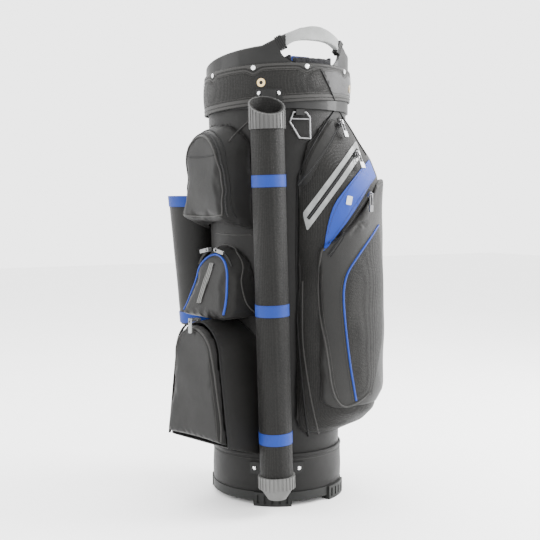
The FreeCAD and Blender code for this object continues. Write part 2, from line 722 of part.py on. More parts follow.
def ball_case():
    """The ball pocket's open-fronted case."""
    low_half, high_half, low, high = BALL_FACE
    outer = arched_block((92, 70, 96, 352), -100.0, BALL_FACE, flat(-BALL_CASE_OUT))
    w = BALL_WALL
    cavity_root = (84, 60, low + 4, high - 8)
    cavity_face = (low_half - w, high_half - w, low + w, high - w)
    wires = [arched_wire(*cavity_root, flat(-134.0)), arched_wire(*cavity_face, flat(-BALL_CASE_OUT - 0.01))]
    case = outside_core(turned(outer.cut(Part.makeLoft(wires, True, True)), BALL_BEARING))
    return case.cut(tube_piece(TUBE_R + 2.5, 0.0, 700.0))


def ball_door():
    """The ball pocket's door, hinged along its foot by its lining."""
    low_half, high_half, low, high = BALL_FACE
    back = arched_wire(low_half, high_half, low + 1.0, high, flat(-BALL_CASE_OUT - 0.4))
    front = arched_wire(low_half - 9, high_half - 9, low + 10, high - 9, flat(-BALL_OUT))
    return turned(Part.makeLoft([back, front], True, True), BALL_BEARING)


def ball_zip_track():
    """Zip round the ball pocket's door, sewn to the door's edge."""
    band = arched_band(BALL_FACE, 0.2, 2.4, -BALL_CASE_OUT - 5.0, -BALL_CASE_OUT - 0.4)
    return turned(band, BALL_BEARING)


BALL_ARCH_R = BALL_FACE[1]
BALL_ARCH_Z = BALL_FACE[3] - BALL_ARCH_R
ACCESSORY_ARCH_R, ACCESSORY_ARCH_Z = 54.0, 424.0


def local_point(angle, x, y, z):
    """A point given in the frame of a part that faces the front, turned to a bearing."""
    a = math.radians(angle)
    return Vector(x * math.cos(a) - y * math.sin(a), x * math.sin(a) + y * math.cos(a), z)


def arch_slider(angle, swing, arch_r, arch_z, y):
    """(point, way along, outward from the arch) of a slider on a door's round top."""
    s = math.radians(swing)
    point = local_point(angle, arch_r * math.sin(s), y, arch_z + arch_r * math.cos(s))
    along = local_point(angle, math.cos(s), 0, -math.sin(s))
    outward = local_point(angle, math.sin(s), 0, math.cos(s))
    return point, along, outward


BALL_SLIDER = arch_slider(BALL_BEARING, 0.0, BALL_ARCH_R + 2.8, BALL_ARCH_Z, -BALL_CASE_OUT - 4.0)
BALL_PULL_OUT = 17.0


def ball_zip_slider():
    """Slider that rides round the door's top, with a nose that its pull hangs from."""
    place, along, outward = BALL_SLIDER
    body = block((-6.5, 6.5), (-3.4, 3.4), (0, 4.0)).transformGeometry(local_matrix(place, along, outward))
    front = bearing(BALL_BEARING, 1.0)
    return joined([body, nose(place + outward * 2.5, UP * -1.0, front, 2.0, BALL_PULL_OUT)])


def ball_pull_hinge():
    place, _, outward = BALL_SLIDER
    return place + bearing(BALL_BEARING, BALL_PULL_OUT) + outward * 2.5


def ball_zip_pull():
    return forked_pull(ball_pull_hinge(), UP * -1.0, bearing(BALL_BEARING, 1.0))


# The accessory pocket's zip lies on a flat arch just outside its blue piping.
def accessory_zip_track():
    """Zip round the accessory pocket's top."""
    y = accessory_face(ACCESSORY_ARCH_Z + ACCESSORY_ARCH_R)
    band = ring(ACCESSORY_ARCH_R - 2.5, ACCESSORY_ARCH_R + 2.5, 0, 2.0)
    band.rotate(ORIGIN, Vector(1, 0, 0), 90)
    band.translate(Vector(0, y - 3.0, ACCESSORY_ARCH_Z))
    band = band.common(block((-90, 90), (-200, -100), (ACCESSORY_ARCH_Z + 24, 520)))
    return turned(band, ACCESSORY_BEARING).cut(accessory_pocket())


ACCESSORY_SWINGS = {"left": -11.0, "right": 11.0}
ACCESSORY_PULL_OUT = 6.6


def accessory_run(side):
    """(place, along, outward) of one of the two sliders that meet at the pocket's top."""
    y = accessory_face(ACCESSORY_ARCH_Z + ACCESSORY_ARCH_R) - 5.4
    swing = ACCESSORY_SWINGS[side]
    place, along, _ = arch_slider(ACCESSORY_BEARING, swing, ACCESSORY_ARCH_R, ACCESSORY_ARCH_Z, y)
    return place, along, bearing(ACCESSORY_BEARING, 1.0)


def accessory_zip_slider(side):
    place, along, outward = accessory_run(side)
    body = round_plate((-5, 5), (-3.6, 3.6), (0, 3.6), 1.4).transformGeometry(
        local_matrix(place, along, outward))
    return joined([body, nose(place, along, outward, 3.0, ACCESSORY_PULL_OUT)])


def accessory_pull_hinge(side):
    place, _, outward = accessory_run(side)
    return place + outward * ACCESSORY_PULL_OUT


def accessory_zip_pull(side):
    sign = -1.0 if side == "left" else 1.0
    _, along, outward = accessory_run(side)
    return forked_pull(accessory_pull_hinge(side), along * sign, outward)


# ---------------------------------------------------------------- sleeve, rear pocket and spine
SLEEVE_LOW_Z, SLEEVE_TOP_Z = 322.0, 578.0


def sleeve_form(wall):
    """The sleeve's outer form, or its inside when wall is over 0."""
    wires = []
    low = SLEEVE_LOW_Z + wall
    for z, out, half_out, half_wide in ((low, 158.0, 38.0, 34.0), (SLEEVE_TOP_Z + wall, 172.0, 48.0, 42.0)):
        centre = bearing(SLEEVE_BEARING, out, z)
        major, minor = bearing(SLEEVE_BEARING, half_out - wall), bearing(SLEEVE_BEARING + 90, half_wide - wall)
        ellipse = Part.Ellipse(centre + major, centre + minor, centre)
        wires.append(Part.Wire(ellipse.toShape()))
    return Part.makeLoft(wires, True, True)


def umbrella_sleeve():
    """Open-topped fabric sleeve for an umbrella or a bottle."""
    inside = sleeve_form(3.0).cut(shell_cone(3.0, 200.0, 700.0))
    return outside_core(sleeve_form(0.0)).cut(inside)


def rear_pocket():
    """Flat pocket behind the apparel pocket."""
    solid = arched_block((60, 50, 130, 640), -100.0, (50, 40, 156, 606), flat(-REAR_OUT))
    return outside_core(turned(solid, REAR_BEARING))


def rear_zip_track():
    track = block((-34, -27), (-REAR_OUT - 1.4, -REAR_OUT), (220, 540))
    return turned(track, REAR_BEARING)


REAR_SLIDER = (local_point(REAR_BEARING, -30.5, -REAR_OUT - ZIP_THICK - SLIDER_GAP, 520.0),
               bearing(REAR_BEARING, 1.0))


def spine_pad():
    """Padded panel up the bag's back."""
    pad = block((-40, 40), (-144, -100), (128, 690))
    return outside_core(turned(pad, SPINE_BEARING)).common(Part.makeCylinder(146.0, 800)).cut(rear_pocket())


def grab_handle():
    """Webbing grab handle on the spine pad, with a moulded grip."""
    wide = 13.0
    posts = [block((-wide, wide), (-170, -141), (z, z + 9)) for z in (430, 591)]
    grip = block((-wide, wide), (-177, -168), (430, 600))
    handle = joined(posts + [grip])
    return turned(handle, SPINE_BEARING).cut(spine_pad()).cut(shell_cone(11.0, 300.0, 700.0))


# ---------------------------------------------------------------- list of parts
def slider_shapes():
    """The sliders and their pulls, by node name."""
    down = UP * -1.0
    shapes = {}
    for name in ZIPS:
        place, along, outward, hang = zip_run(name)[:4]
        shapes[name + "_zip_slider"] = zip_slider(place, along, outward, hang)
        shapes[name + "_zip_pull"] = zip_pull(pull_hinge(place, outward), hang, outward)
    for side in ACCESSORY_SWINGS:
        shapes["accessory_zip_slider_" + side] = accessory_zip_slider(side)
        shapes["accessory_zip_pull_" + side] = accessory_zip_pull(side)
    place, outward = REAR_SLIDER
    shapes["rear_zip_slider"] = zip_slider(place, UP, outward, down)
    shapes["rear_zip_pull"] = zip_pull(pull_hinge(place, outward), down, outward)
    shapes["ball_zip_slider"] = ball_zip_slider()
    shapes["ball_zip_pull"] = ball_zip_pull()
    return shapes


MAKERS = (
    base_tray, base_feet, base_boot, body_shell, stay_rods, top_collar, handle_grip, sill_pad, top_cuff,
    cuff_rivets, cuff_eyelets, divider_frame, divider_hangers, divider_panels, divider_trim, putter_tube,
    mouth_ring, tube_cup, tube_bands, top_bracket, top_bracket_rivets, cup_bracket, cup_bracket_screws,
    towel_tab, towel_ring, apparel_pocket, apparel_door, upper_zip_track, dry_pocket_strip,
    lower_zip_track, cooler_pocket, accessory_pocket, accessory_zip_track, ball_case, ball_door,
    ball_zip_track, umbrella_sleeve, rear_pocket, rear_zip_track, spine_pad, grab_handle,
)


def main():
    os.makedirs("parts", exist_ok=True)
    shapes = {maker.__name__: maker() for maker in MAKERS}
    shapes.update(slider_shapes())
    for name, shape in shapes.items():
        shape.exportStep(f"parts/{name}.step")
        box = shape.BoundBox
        print(f"{name:28s} solids {len(shape.Solids):3d} valid {shape.isValid()} "
              f"volume {shape.Volume / 1000:9.2f} cm3  z {box.ZMin:7.1f} {box.ZMax:7.1f}")


if __name__ == "__main__":
    main()
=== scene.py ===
import math

import bmesh
import bpy
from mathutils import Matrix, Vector
from mathutils.bvhtree import BVHTree


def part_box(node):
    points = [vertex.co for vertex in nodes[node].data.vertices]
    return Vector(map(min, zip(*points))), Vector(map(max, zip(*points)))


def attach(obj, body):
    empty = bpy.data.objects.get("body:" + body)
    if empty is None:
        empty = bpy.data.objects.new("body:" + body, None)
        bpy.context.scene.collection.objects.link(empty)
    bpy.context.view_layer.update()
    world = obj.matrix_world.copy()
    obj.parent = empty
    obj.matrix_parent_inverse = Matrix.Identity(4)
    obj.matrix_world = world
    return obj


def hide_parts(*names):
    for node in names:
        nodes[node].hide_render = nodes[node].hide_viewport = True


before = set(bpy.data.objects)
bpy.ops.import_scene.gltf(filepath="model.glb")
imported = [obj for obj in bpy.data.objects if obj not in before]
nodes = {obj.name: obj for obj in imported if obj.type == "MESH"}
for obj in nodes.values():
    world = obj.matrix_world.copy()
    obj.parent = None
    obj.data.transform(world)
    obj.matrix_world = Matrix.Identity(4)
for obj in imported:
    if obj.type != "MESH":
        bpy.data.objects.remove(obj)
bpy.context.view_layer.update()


# ---------------------------------------------------------------- studio
# A pale floor and soft light: a broad key from the tall pocket's side, a weaker fill from the other side,
# one from above and a faint one in front. The camera stands at half the bag's height, facing the putter tube.
def bearing(angle, out, z=0.0):
    """A point at a bearing from the front of the bag, positive towards +X, in metres."""
    a = math.radians(angle)
    return Vector((out * math.sin(a), -out * math.cos(a), z))


class Val:
    """A socket in a finish, with arithmetic."""

    def __init__(self, finish, socket):
        self.finish, self.socket = finish, socket

    def _with(self, operation, other, swap=False):
        a, b = (other, self) if swap else (self, other)
        return self.finish.node("ShaderNodeMath", {"operation": operation}, {0: a, 1: b})

    def __add__(self, other):
        return self._with("ADD", other)

    def __sub__(self, other):
        return self._with("SUBTRACT", other)

    def __rsub__(self, other):
        return self._with("SUBTRACT", other, True)

    def __mul__(self, other):
        return self._with("MULTIPLY", other)

    __radd__, __rmul__ = __add__, __mul__

    def wave(self):
        return self.finish.node("ShaderNodeMath", {"operation": "SINE"}, {0: self})

    def between(self, low, high):
        """0 below low, 1 above high, and a ramp between."""
        return self.finish.node("ShaderNodeMapRange", {}, {"Value": self, "From Min": low,
                                                           "From Max": high})


class Finish:
    """A material being made: a Principled surface and the nodes that feed it."""

    def __init__(self, name, **surface):
        self.material = bpy.data.materials.new(name)
        self.material.use_nodes = True
        self.tree = self.material.node_tree
        self.surface = self.tree.nodes["Principled BSDF"]
        self.surface.inputs["Specular IOR Level"].default_value = 0.14
        for key, value in surface.items():
            self.feed(key.replace("_", " "), value)

    def feed(self, socket, value):
        if isinstance(value, Val):
            self.tree.links.new(value.socket, self.surface.inputs[socket])
        else:
            self.surface.inputs[socket].default_value = value

    def node(self, kind, settings=None, sockets=None, output=0):
        made = self.tree.nodes.new(kind)
        for key, value in (settings or {}).items():
            setattr(made, key, value)
        for key, value in (sockets or {}).items():
            if isinstance(value, Val):
                self.tree.links.new(value.socket, made.inputs[key])
            else:
                made.inputs[key].default_value = value
        return Val(self, made.outputs[output])

    def place(self):
        return self.node("ShaderNodeTexCoord", output="Object")

    def noise(self, size, detail=2.0):
        return self.node("ShaderNodeTexNoise", {}, {"Vector": self.place(), "Scale": 1 / size,
                                                    "Detail": detail})

    def colours(self, low, high, share):
        return self.node("ShaderNodeMix", {"data_type": "RGBA"},
                         {0: share, 6: (*low, 1.0), 7: (*high, 1.0)}, output=2)

    def bump(self, height, depth):
        self.feed("Normal", self.node("ShaderNodeBump", {}, {"Height": height, "Distance": depth}))


def paint(finish):
    """The finished material."""
    return finish.material


floor_finish = Finish("pale floor", Roughness=0.6)
floor_finish.feed("Base Color", floor_finish.colours((0.86, 0.86, 0.86), (0.89, 0.89, 0.89),
                                                     floor_finish.noise(0.4)))
bpy.ops.object.select_all(action="DESELECT")
bpy.ops.mesh.primitive_plane_add(size=14.0)
floor = bpy.context.object
floor.name = "floor"
floor.data.materials.append(paint(floor_finish))

world = bpy.data.worlds.new("studio")
world.use_nodes = True
world.node_tree.nodes["Background"].inputs["Color"].default_value = (1.0, 1.0, 1.0, 1.0)
world.node_tree.nodes["Background"].inputs["Strength"].default_value = 3.6
bpy.context.scene.world = world

AIM = Vector((0, 0, 0.45))
for name, place, size, power in (("key", bearing(66, 1.9, 1.35), 1.2, 120), ("fill", bearing(-110, 2.2,
                                                            1.1), 1.4, 30),
                                 ("top", bearing(170, 0.9, 2.6), 1.8, 60), ("front", bearing(10, 2.8, 0.9),
                                                            1.2, 12)):
    bpy.ops.object.light_add(type="AREA", location=place)
    lamp = bpy.context.object
    lamp.name = name
    lamp.data.shape, lamp.data.size, lamp.data.energy = "DISK", size, power
    lamp.rotation_euler = (AIM - place).to_track_quat("-Z", "Y").to_euler()

VIEW_BEARING, VIEW_OUT, VIEW_HEIGHT, VIEW_TILT, VIEW_SIDE = -30.0, 1.935, 0.561, 3.8, -0.0136
eye = bearing(VIEW_BEARING, VIEW_OUT, VIEW_HEIGHT) + bearing(VIEW_BEARING + 90, VIEW_SIDE)
bpy.ops.object.camera_add(location=eye, rotation=(math.radians(90 - VIEW_TILT), 0,
                                                  math.radians(VIEW_BEARING)))
camera = bpy.context.object
camera.data.lens, camera.data.sensor_width = 66.0, 36.0
bpy.context.scene.camera = camera


# ---------------------------------------------------------------- moulded base
# The tray and its four clip-on feet are moulded in a dark grey plastic with a fine spark-eroded grain.
def pick(*objects):
    """Selects these alone, the last one active."""
    bpy.ops.object.select_all(action="DESELECT")
    for piece in objects:
        piece.select_set(True)
    bpy.context.view_layer.objects.active = objects[-1]


def dress(piece, *finishes):
    """Gives a piece these materials, in order."""
    for k, finish in enumerate(finishes):
        if k < len(piece.material_slots):
            piece.material_slots[k].material = paint(finish)
        else:
            piece.data.materials.append(paint(finish))


def moulded(name, colour, grain=0.0009, depth=0.00012, rough=0.48):
    """Plastic with a fine grain, slightly uneven in tone and gloss."""
    f = Finish(name, Coat_Weight=0.06)
    patches = f.noise(0.05, 4.0)
    f.feed("Base Color", f.colours(colour, [c * 1.35 + 0.002 for c in colour], patches.between(0.3, 0.75)))
    f.feed("Roughness", rough + 0.18 * f.noise(0.02, 3.0))
    f.bump(f.noise(grain, 3.0), depth)
    return f


tray_plastic = moulded("tray plastic", (0.0085, 0.0088, 0.0083))
for name in ("base_tray", "base_feet"):
    dress(nodes[name], tray_plastic)


# ---------------------------------------------------------------- fabrics
# Three cloths cover the bag: a black polyester with raised cells, a smooth coated polyester, and a
# plain woven webbing dyed blue. Each has yarns in its bump and a slight change of tone with handling; the
# raised cells and the yarns are also painted lighter than the hollows between them, as painted highlight and
# painted shade.
def cell_cloth(name, colour, cell=0.0026, lift=0.0005):
    """Dobby-woven polyester: rows of small raised cells."""
    f = Finish(name, Sheen_Weight=0.03, Sheen_Roughness=0.4)
    cells = f.node("ShaderNodeTexVoronoi", {"feature": "F1"}, {"Vector": f.place(), "Scale": 1 / cell,
                                                            "Randomness": 0.35})
    raised = 1 - cells.between(0.1, 0.62)
    worn = f.noise(0.09, 4.0).between(0.35, 0.7)
    # Painted highlight and painted shade: the raised cells are painted up to four times lighter than the
    # hollows between them; the worn share is a real change of tone.
    cell_highlight_and_wear = raised * 0.62 + worn * 0.3
    f.feed("Base Color", f.colours([c * 0.42 for c in colour], [c * 1.75 for c in colour], cell_highlight_and_wear))
    f.feed("Roughness", 0.62 - 0.2 * raised)
    f.bump(raised + 0.25 * f.noise(0.0007, 2.0) + 1.6 * f.noise(0.035, 3.0), lift)
    return f


def coated_cloth(name, colour, rough=0.42, yarn=0.0011):
    """Close-woven polyester with a smooth coating: fine yarns that show as a soft glint, in the bump and as
    painted glint in the colour.
    """
    f = Finish(name, Sheen_Weight=0.02, Sheen_Roughness=0.5, Coat_Weight=0.02)
    where = f.node("ShaderNodeSeparateXYZ", {}, {"Vector": f.place()}, "Z")
    yarns_and_glint = (where * (math.tau / yarn)).wave() * 0.5 + 0.5
    worn = f.noise(0.12, 4.0).between(0.3, 0.72)
    # Painted glint: each yarn is painted lighter along its crest, on top of the real change of tone with
    # wear.
    f.feed("Base Color", f.colours([c * 0.8 for c in colour], [c * 1.3 for c in colour],
                                   worn * 0.7 + yarns_and_glint * 0.3))
    f.feed("Roughness", rough + 0.16 * f.noise(0.03, 3.0))
    f.bump(0.35 * yarns_and_glint + 0.6 * f.noise(0.0012, 2.0) + 2.2 * f.noise(0.045, 3.0), 0.00045)
    return f


black_cells = cell_cloth("black cell cloth", (0.0075, 0.0072, 0.0066))
black_coated = coated_cloth("black coated cloth", (0.0045, 0.0043, 0.0040))
grey_coated = coated_cloth("charcoal coated cloth", (0.0095, 0.0093, 0.0088), rough=0.38)
piping_black = coated_cloth("black piping", (0.003, 0.003, 0.003), rough=0.5)
piping_grey = coated_cloth("grey piping", (0.021, 0.0205, 0.0195), rough=0.42)
blue_web = coated_cloth("blue webbing", (0.0060, 0.024, 0.155), rough=0.5, yarn=0.0016)
blue_cloth = coated_cloth("blue coated cloth", (0.0070, 0.027, 0.18), rough=0.4)


# ---------------------------------------------------------------- inside of the tube
# Divider cloth hangs from its bars inside the tube. Four rods of glass fibre stand beside it.
for name in ("divider_panels", "divider_hangers"):
    dress(nodes[name], black_coated)
dress(nodes["stay_rods"], moulded("glass fibre", (0.55, 0.54, 0.48), rough=0.35))


# ---------------------------------------------------------------- sewn trims
# Piping, zips, seams and stitches follow a line of points laid on the cloth.
def skin_of(*pieces):
    """A tree of the pieces' faces, to lay trims on."""
    verts, faces = [], []
    for piece in pieces:
        start = len(verts)
        verts += [v.co for v in piece.data.vertices]
        faces += [[start + k for k in face.vertices] for face in piece.data.polygons]
    return BVHTree.FromPolygons(verts, faces)


def laid(skin, facing, x, z, lift=0.0):
    """Where (x, z), seen from a bearing, meets the cloth: (point, outward)."""
    outward = bearing(facing, 1.0)
    start = bearing(facing + 90, x, z) + outward * 0.5
    point, normal, _, _ = skin.ray_cast(start, -outward)
    if point is None:
        return None
    if normal.dot(outward) < 0:
        normal.negate()
    return point + normal * lift, normal


def smooth_line(points, step):
    """Even steps along a smooth curve through (x, z) points."""
    ends = [points[0], *points, points[-1]]
    fine = []
    for p0, p1, p2, p3 in zip(ends, ends[1:], ends[2:], ends[3:]):
        for k in range(24):
            t = k / 24
            fine.append([0.5 * (2 * b + (c - a) * t + (2 * a - 5 * b + 4 * c - d) * t * t
                                + (3 * b - a - 3 * c + d) * t ** 3)
                         for a, b, c, d in zip(p0, p1, p2, p3)])
    fine.append(list(points[-1]))
    line, need = [fine[0]], step
    for a, b in zip(fine, fine[1:]):
        gap = math.dist(a, b)
        while gap and need <= gap:
            line.append([p + (q - p) * need / gap for p, q in zip(a, b)])
            need += step
        need -= gap
    line.append(fine[-1])
    return line


def line_on(skin, facing, points, step=0.005, lift=0.0, straight=False):
    """A line of (point, outward) laid on the cloth through (x, z) points in millimetres."""
    metres = [(x / 1000, z / 1000) for x, z in points]
    if straight:
        flat = []
        for a, b in zip(metres, metres[1:]):
            count = max(1, round(math.dist(a, b) / step))
            flat += [[p + (q - p) * k / count for p, q in zip(a, b)] for k in range(count)]
        flat.append(list(metres[-1]))
    else:
        flat = smooth_line(metres, step)
    found = [laid(skin, facing, x, z, lift) for x, z in flat]
    found = [f for f in found if f]
    for _ in range(2):
        found = [found[0]] + [((a[0] + b[0] * 2 + c[0]) / 4, (a[1] + b[1] * 2 + c[1]).normalized())
                              for a, b, c in zip(found, found[1:], found[2:])] + [found[-1]]
    return found


def set_piece(piece, name, body, finishes, replaces=(), smooth=40):
    """Names a finished piece, dresses it, and puts it on its body."""
    piece.name = piece.data.name = name
    piece.data.materials.clear()
    dress(piece, *finishes)
    pick(piece)
    bpy.ops.object.transform_apply(location=True, rotation=True, scale=True)
    bpy.ops.object.shade_smooth_by_angle(angle=math.radians(smooth))
    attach(piece, body)
    if replaces:
        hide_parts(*replaces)
    return piece


def new_piece(name, verts, faces):
    mesh = bpy.data.meshes.new(name)
    mesh.from_pydata(verts, [], faces)
    piece = bpy.data.objects.new(name, mesh)
    bpy.context.collection.objects.link(piece)
    return piece


def piping(name, runs, radius, finish, body="bag"):
    """Corded piping: a round cord sewn along each run of (point, outward)."""
    data = bpy.data.curves.new(name, "CURVE")
    data.dimensions, data.bevel_depth, data.bevel_resolution, data.use_fill_caps = "3D", radius, 2, True
    for run in runs:
        spline = data.splines.new("POLY")
        spline.points.add(len(run) - 1)
        for knot, (point, _) in zip(spline.points, run):
            knot.co = (*point, 1.0)
    piece = bpy.data.objects.new(name, data)
    bpy.context.collection.objects.link(piece)
    pick(piece)
    bpy.ops.object.convert(target="MESH")
    return set_piece(bpy.context.object, name, body, [finish], smooth=60)


def tape_mesh(name, run, width, thick, lift):
    """A flat tape that follows a run, its face turned outwards."""
    verts, faces = [], []
    for k, (point, outward) in enumerate(run):
        ahead = run[min(k + 1, len(run) - 1)][0] - run[max(k - 1, 0)][0]
        side = ahead.cross(outward).normalized() * width / 2
        for s, h in ((-1, 0.0), (-0.92, thick), (0.92, thick), (1, 0.0)):
            verts.append(point + side * s + outward * (lift + h))
    for k in range(len(run) - 1):
        a, b = 4 * k, 4 * k + 4
        faces += [(a + j, b + j, b + (j + 1) % 4, a + (j + 1) % 4) for j in range(4)]
    last = 4 * (len(run) - 1)
    faces += [(0, 1, 2, 3), (last + 3, last + 2, last + 1, last)]
    return new_piece(name, verts, faces)


def beads(name, run, size, lift, gap=1, skew=0.0):
    """Small blocks along a run: zip teeth, or stitches when they are long and thin."""
    long, wide, tall = size
    verts, faces = [], []
    for k in range(0, len(run) - 1, gap):
        point, outward = run[k]
        ahead = (run[k + 1][0] - point).normalized()
        side = ahead.cross(outward).normalized()
        ahead, side = (ahead + side * skew).normalized(), (side - ahead * skew).normalized()
        start = len(verts)
        for h, grow in ((0.0, 1.0), (tall, 0.6)):
            verts += [point + outward * (lift + h) + ahead * (a * long * grow / 2)
                      + side * (b * wide * grow / 2)
                      for a, b in ((-1, -1), (1, -1), (1, 1), (-1, 1))]
        faces += [[start + j for j in f] for f in
                  ((0, 3, 2, 1), (4, 5, 6, 7), (0, 1, 5, 4), (1, 2, 6, 5), (2, 3, 7, 6), (3, 0, 4, 7))]
    return new_piece(name, verts, faces)


def outward_faces(piece):
    pick(piece)
    bpy.ops.object.mode_set(mode="EDIT")
    bpy.ops.mesh.select_all(action="SELECT")
    bpy.ops.mesh.remove_doubles(threshold=0.00001)
    bpy.ops.mesh.normals_make_consistent(inside=False)
    bpy.ops.object.mode_set(mode="OBJECT")
    return piece


def one_piece(*parts):
    """Joins parts into one object, each keeping its own material slots."""
    pick(*parts[1:], parts[0])
    bpy.ops.object.join()
    return bpy.context.object


tape_black = coated_cloth("zip tape", (0.004, 0.004, 0.004), rough=0.6)
tooth_plastic = moulded("zip teeth", (0.022, 0.022, 0.022), rough=0.3)
thread = coated_cloth("thread", (0.036, 0.035, 0.033), rough=0.5)


def zip_line(name, run, body="bag", replaces=(), width=0.009):
    """A coil zip: its tape and the two rows of teeth."""
    tape = outward_faces(tape_mesh(name, run, width, 0.0007, 0.0003))
    tape.data.materials.append(paint(tape_black))
    teeth = outward_faces(beads(name + "_teeth", run, (0.0014, 0.0036, 0.0011), 0.0009, 1, 0.25))
    teeth.data.materials.append(paint(tooth_plastic))
    whole = one_piece(tape, teeth)
    return set_materials(whole, name, body, replaces)


def set_materials(piece, name, body, replaces=()):
    """As set_piece, for a piece that already wears its materials."""
    piece.name = piece.data.name = name
    pick(piece)
    bpy.ops.object.shade_smooth_by_angle(angle=math.radians(35))
    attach(piece, body)
    if replaces:
        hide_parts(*replaces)
    return piece


def stitches(name, runs, body="bag"):
    """Lockstitch along runs: 3 mm stitches with a small gap."""
    rows = [beads(name, run, (0.0030, 0.0007, 0.0005), 0.0001, 1) for run in runs]
    return set_piece(outward_faces(one_piece(*rows)), name, body, [thread])


# ---------------------------------------------------------------- soft forms
# Each pocket is a padded shell of cloth over thin foam: it takes its place from the bag, is blown up
# a little from inside, and then has piping laid along its seams.
def cloth_copy(name, node, voxel, shrink=0.0, smooth=2):
    """A closed, evenly meshed copy of a part of the bag."""
    piece = nodes[node].copy()
    piece.data = nodes[node].data.copy()
    piece.modifiers.clear()
    piece.parent = None
    piece.matrix_world.identity()
    piece.name = name
    bpy.context.collection.objects.link(piece)
    pick(piece)
    bpy.ops.object.mode_set(mode="EDIT")
    bpy.ops.mesh.select_all(action="SELECT")
    bpy.ops.mesh.remove_doubles(threshold=0.00001)
    bpy.ops.object.mode_set(mode="OBJECT")
    piece.data.remesh_voxel_size = voxel
    bpy.ops.object.voxel_remesh()
    bpy.ops.object.mode_set(mode="EDIT")
    bpy.ops.mesh.select_all(action="SELECT")
    bpy.ops.mesh.vertices_smooth(factor=0.5, repeat=smooth)
    if shrink:
        bpy.ops.transform.shrink_fatten(value=-shrink)
    bpy.ops.object.mode_set(mode="OBJECT")
    return piece


def blow_up(piece, pressure=4.0, cap=0.006, frames=20):
    """Cloth simulation with air inside and no gravity. No point moves further than cap."""
    start = [v.co.copy() for v in piece.data.vertices]
    pick(piece)
    bpy.ops.object.modifier_add(type="CLOTH")
    cloth = piece.modifiers[-1]
    settings = cloth.settings
    settings.quality, settings.mass = 4, 0.3
    settings.tension_stiffness = settings.compression_stiffness = 12.0
    settings.shear_stiffness, settings.bending_stiffness = 6.0, 0.4
    settings.use_pressure, settings.uniform_pressure_force = True, pressure
    settings.effector_weights.gravity = 0.0
    cloth.point_cache.frame_start, cloth.point_cache.frame_end = 1, frames
    for number in range(1, frames + 1):
        bpy.context.scene.frame_set(number)
    bpy.ops.object.modifier_apply(modifier=cloth.name)
    for vert, home in zip(piece.data.vertices, start):
        move = vert.co - home
        if move.length > cap:
            vert.co = home + move * (cap / move.length)
    bpy.context.scene.frame_set(1)
    return piece


def finer(piece, levels=1):
    pick(piece)
    bpy.ops.object.modifier_add(type="SUBSURF")
    bend = piece.modifiers[-1]
    bend.levels = bend.render_levels = levels
    bpy.ops.object.modifier_apply(modifier=bend.name)
    return piece


def slack(piece, size, depth, seed=0.0):
    """Shallow waves in cloth that isn't held tight, from an even swell of three directions."""
    normals = [vert.normal.copy() for vert in piece.data.vertices]
    for vert, normal in zip(piece.data.vertices, normals):
        x, y, z = vert.co / size
        swell = (math.sin(x * 3.1 + z * 1.3 + seed) + math.sin(y * 2.7 - z * 2.1 + seed * 2)
                 + math.sin(z * 3.3 + x - y + seed * 3))
        vert.co += normal * (swell * depth / 3)
    return piece


def patch_on(name, skin, facing, outline, lift, thick, step=0.006):
    """A flat cut of cloth laid on the bag inside an outline of (x, z) points in millimetres."""
    shape = bmesh.new()
    rim = [shape.verts.new((x / 1000, 0, z / 1000)) for x, z in outline]
    shape.faces.new(rim)
    bmesh.ops.triangulate(shape, faces=shape.faces[:])
    for _ in range(7):
        long = [e for e in shape.edges if e.calc_length() > step]
        if not long:
            break
        bmesh.ops.subdivide_edges(shape, edges=long, cuts=1)
        bmesh.ops.triangulate(shape, faces=[f for f in shape.faces if len(f.verts) > 3])
    lost = []
    for vert in shape.verts:
        found = laid(skin, facing, vert.co.x, vert.co.z, lift)
        if found:
            vert.co = found[0]
        else:
            lost.append(vert)
    bmesh.ops.delete(shape, geom=lost, context="VERTS")
    mesh = bpy.data.meshes.new(name)
    shape.to_mesh(mesh)
    shape.free()
    piece = bpy.data.objects.new(name, mesh)
    bpy.context.collection.objects.link(piece)
    outward_faces(piece)
    middle = piece.data.polygons[len(piece.data.polygons) // 2].normal
    if middle.dot(bearing(facing, 1.0)) < 0:
        pick(piece)
        bpy.ops.object.mode_set(mode="EDIT")
        bpy.ops.mesh.select_all(action="SELECT")
        bpy.ops.mesh.flip_normals()
        bpy.ops.object.mode_set(mode="OBJECT")
    pick(piece)
    bpy.ops.object.modifier_add(type="SOLIDIFY")
    wall = piece.modifiers[-1]
    wall.thickness, wall.offset = thick, 1.0
    bpy.ops.object.modifier_apply(modifier=wall.name)
    return piece


def rounded(points, radius, steps=5):
    """An outline with its corners rounded."""
    out = []
    for k, corner in enumerate(points):
        c = Vector(corner)
        a, b = Vector(points[k - 1]) - c, Vector(points[(k + 1) % len(points)]) - c
        cut = min(radius, a.length / 2.2, b.length / 2.2)
        p, q = c + a.normalized() * cut, c + b.normalized() * cut
        out += [tuple(p.lerp(c, t).lerp(c.lerp(q, t), t)) for t in (j / steps for j in range(steps + 1))]
    return out


# ---------------------------------------------------------------- boot
# A padded sleeve of coated cloth round the foot of the tube, bound with piping at its top.
def spun(name, profile, steps=144):
    """A ring turned about the bag's axis from a closed profile of (radius, height) points."""
    piece = new_piece(name, [(r, 0, z) for r, z in profile], [])
    pick(piece)
    bpy.ops.object.mode_set(mode="EDIT")
    shape = bmesh.from_edit_mesh(piece.data)
    shape.verts.ensure_lookup_table()
    for a, b in zip(shape.verts[:], shape.verts[1:] + shape.verts[:1]):
        shape.edges.new((a, b))
    bmesh.update_edit_mesh(piece.data)
    bpy.ops.mesh.select_all(action="SELECT")
    bpy.ops.mesh.spin(steps=steps, angle=math.tau, center=(0, 0, 0), axis=(0, 0, 1))
    bpy.ops.object.mode_set(mode="OBJECT")
    return outward_faces(piece)


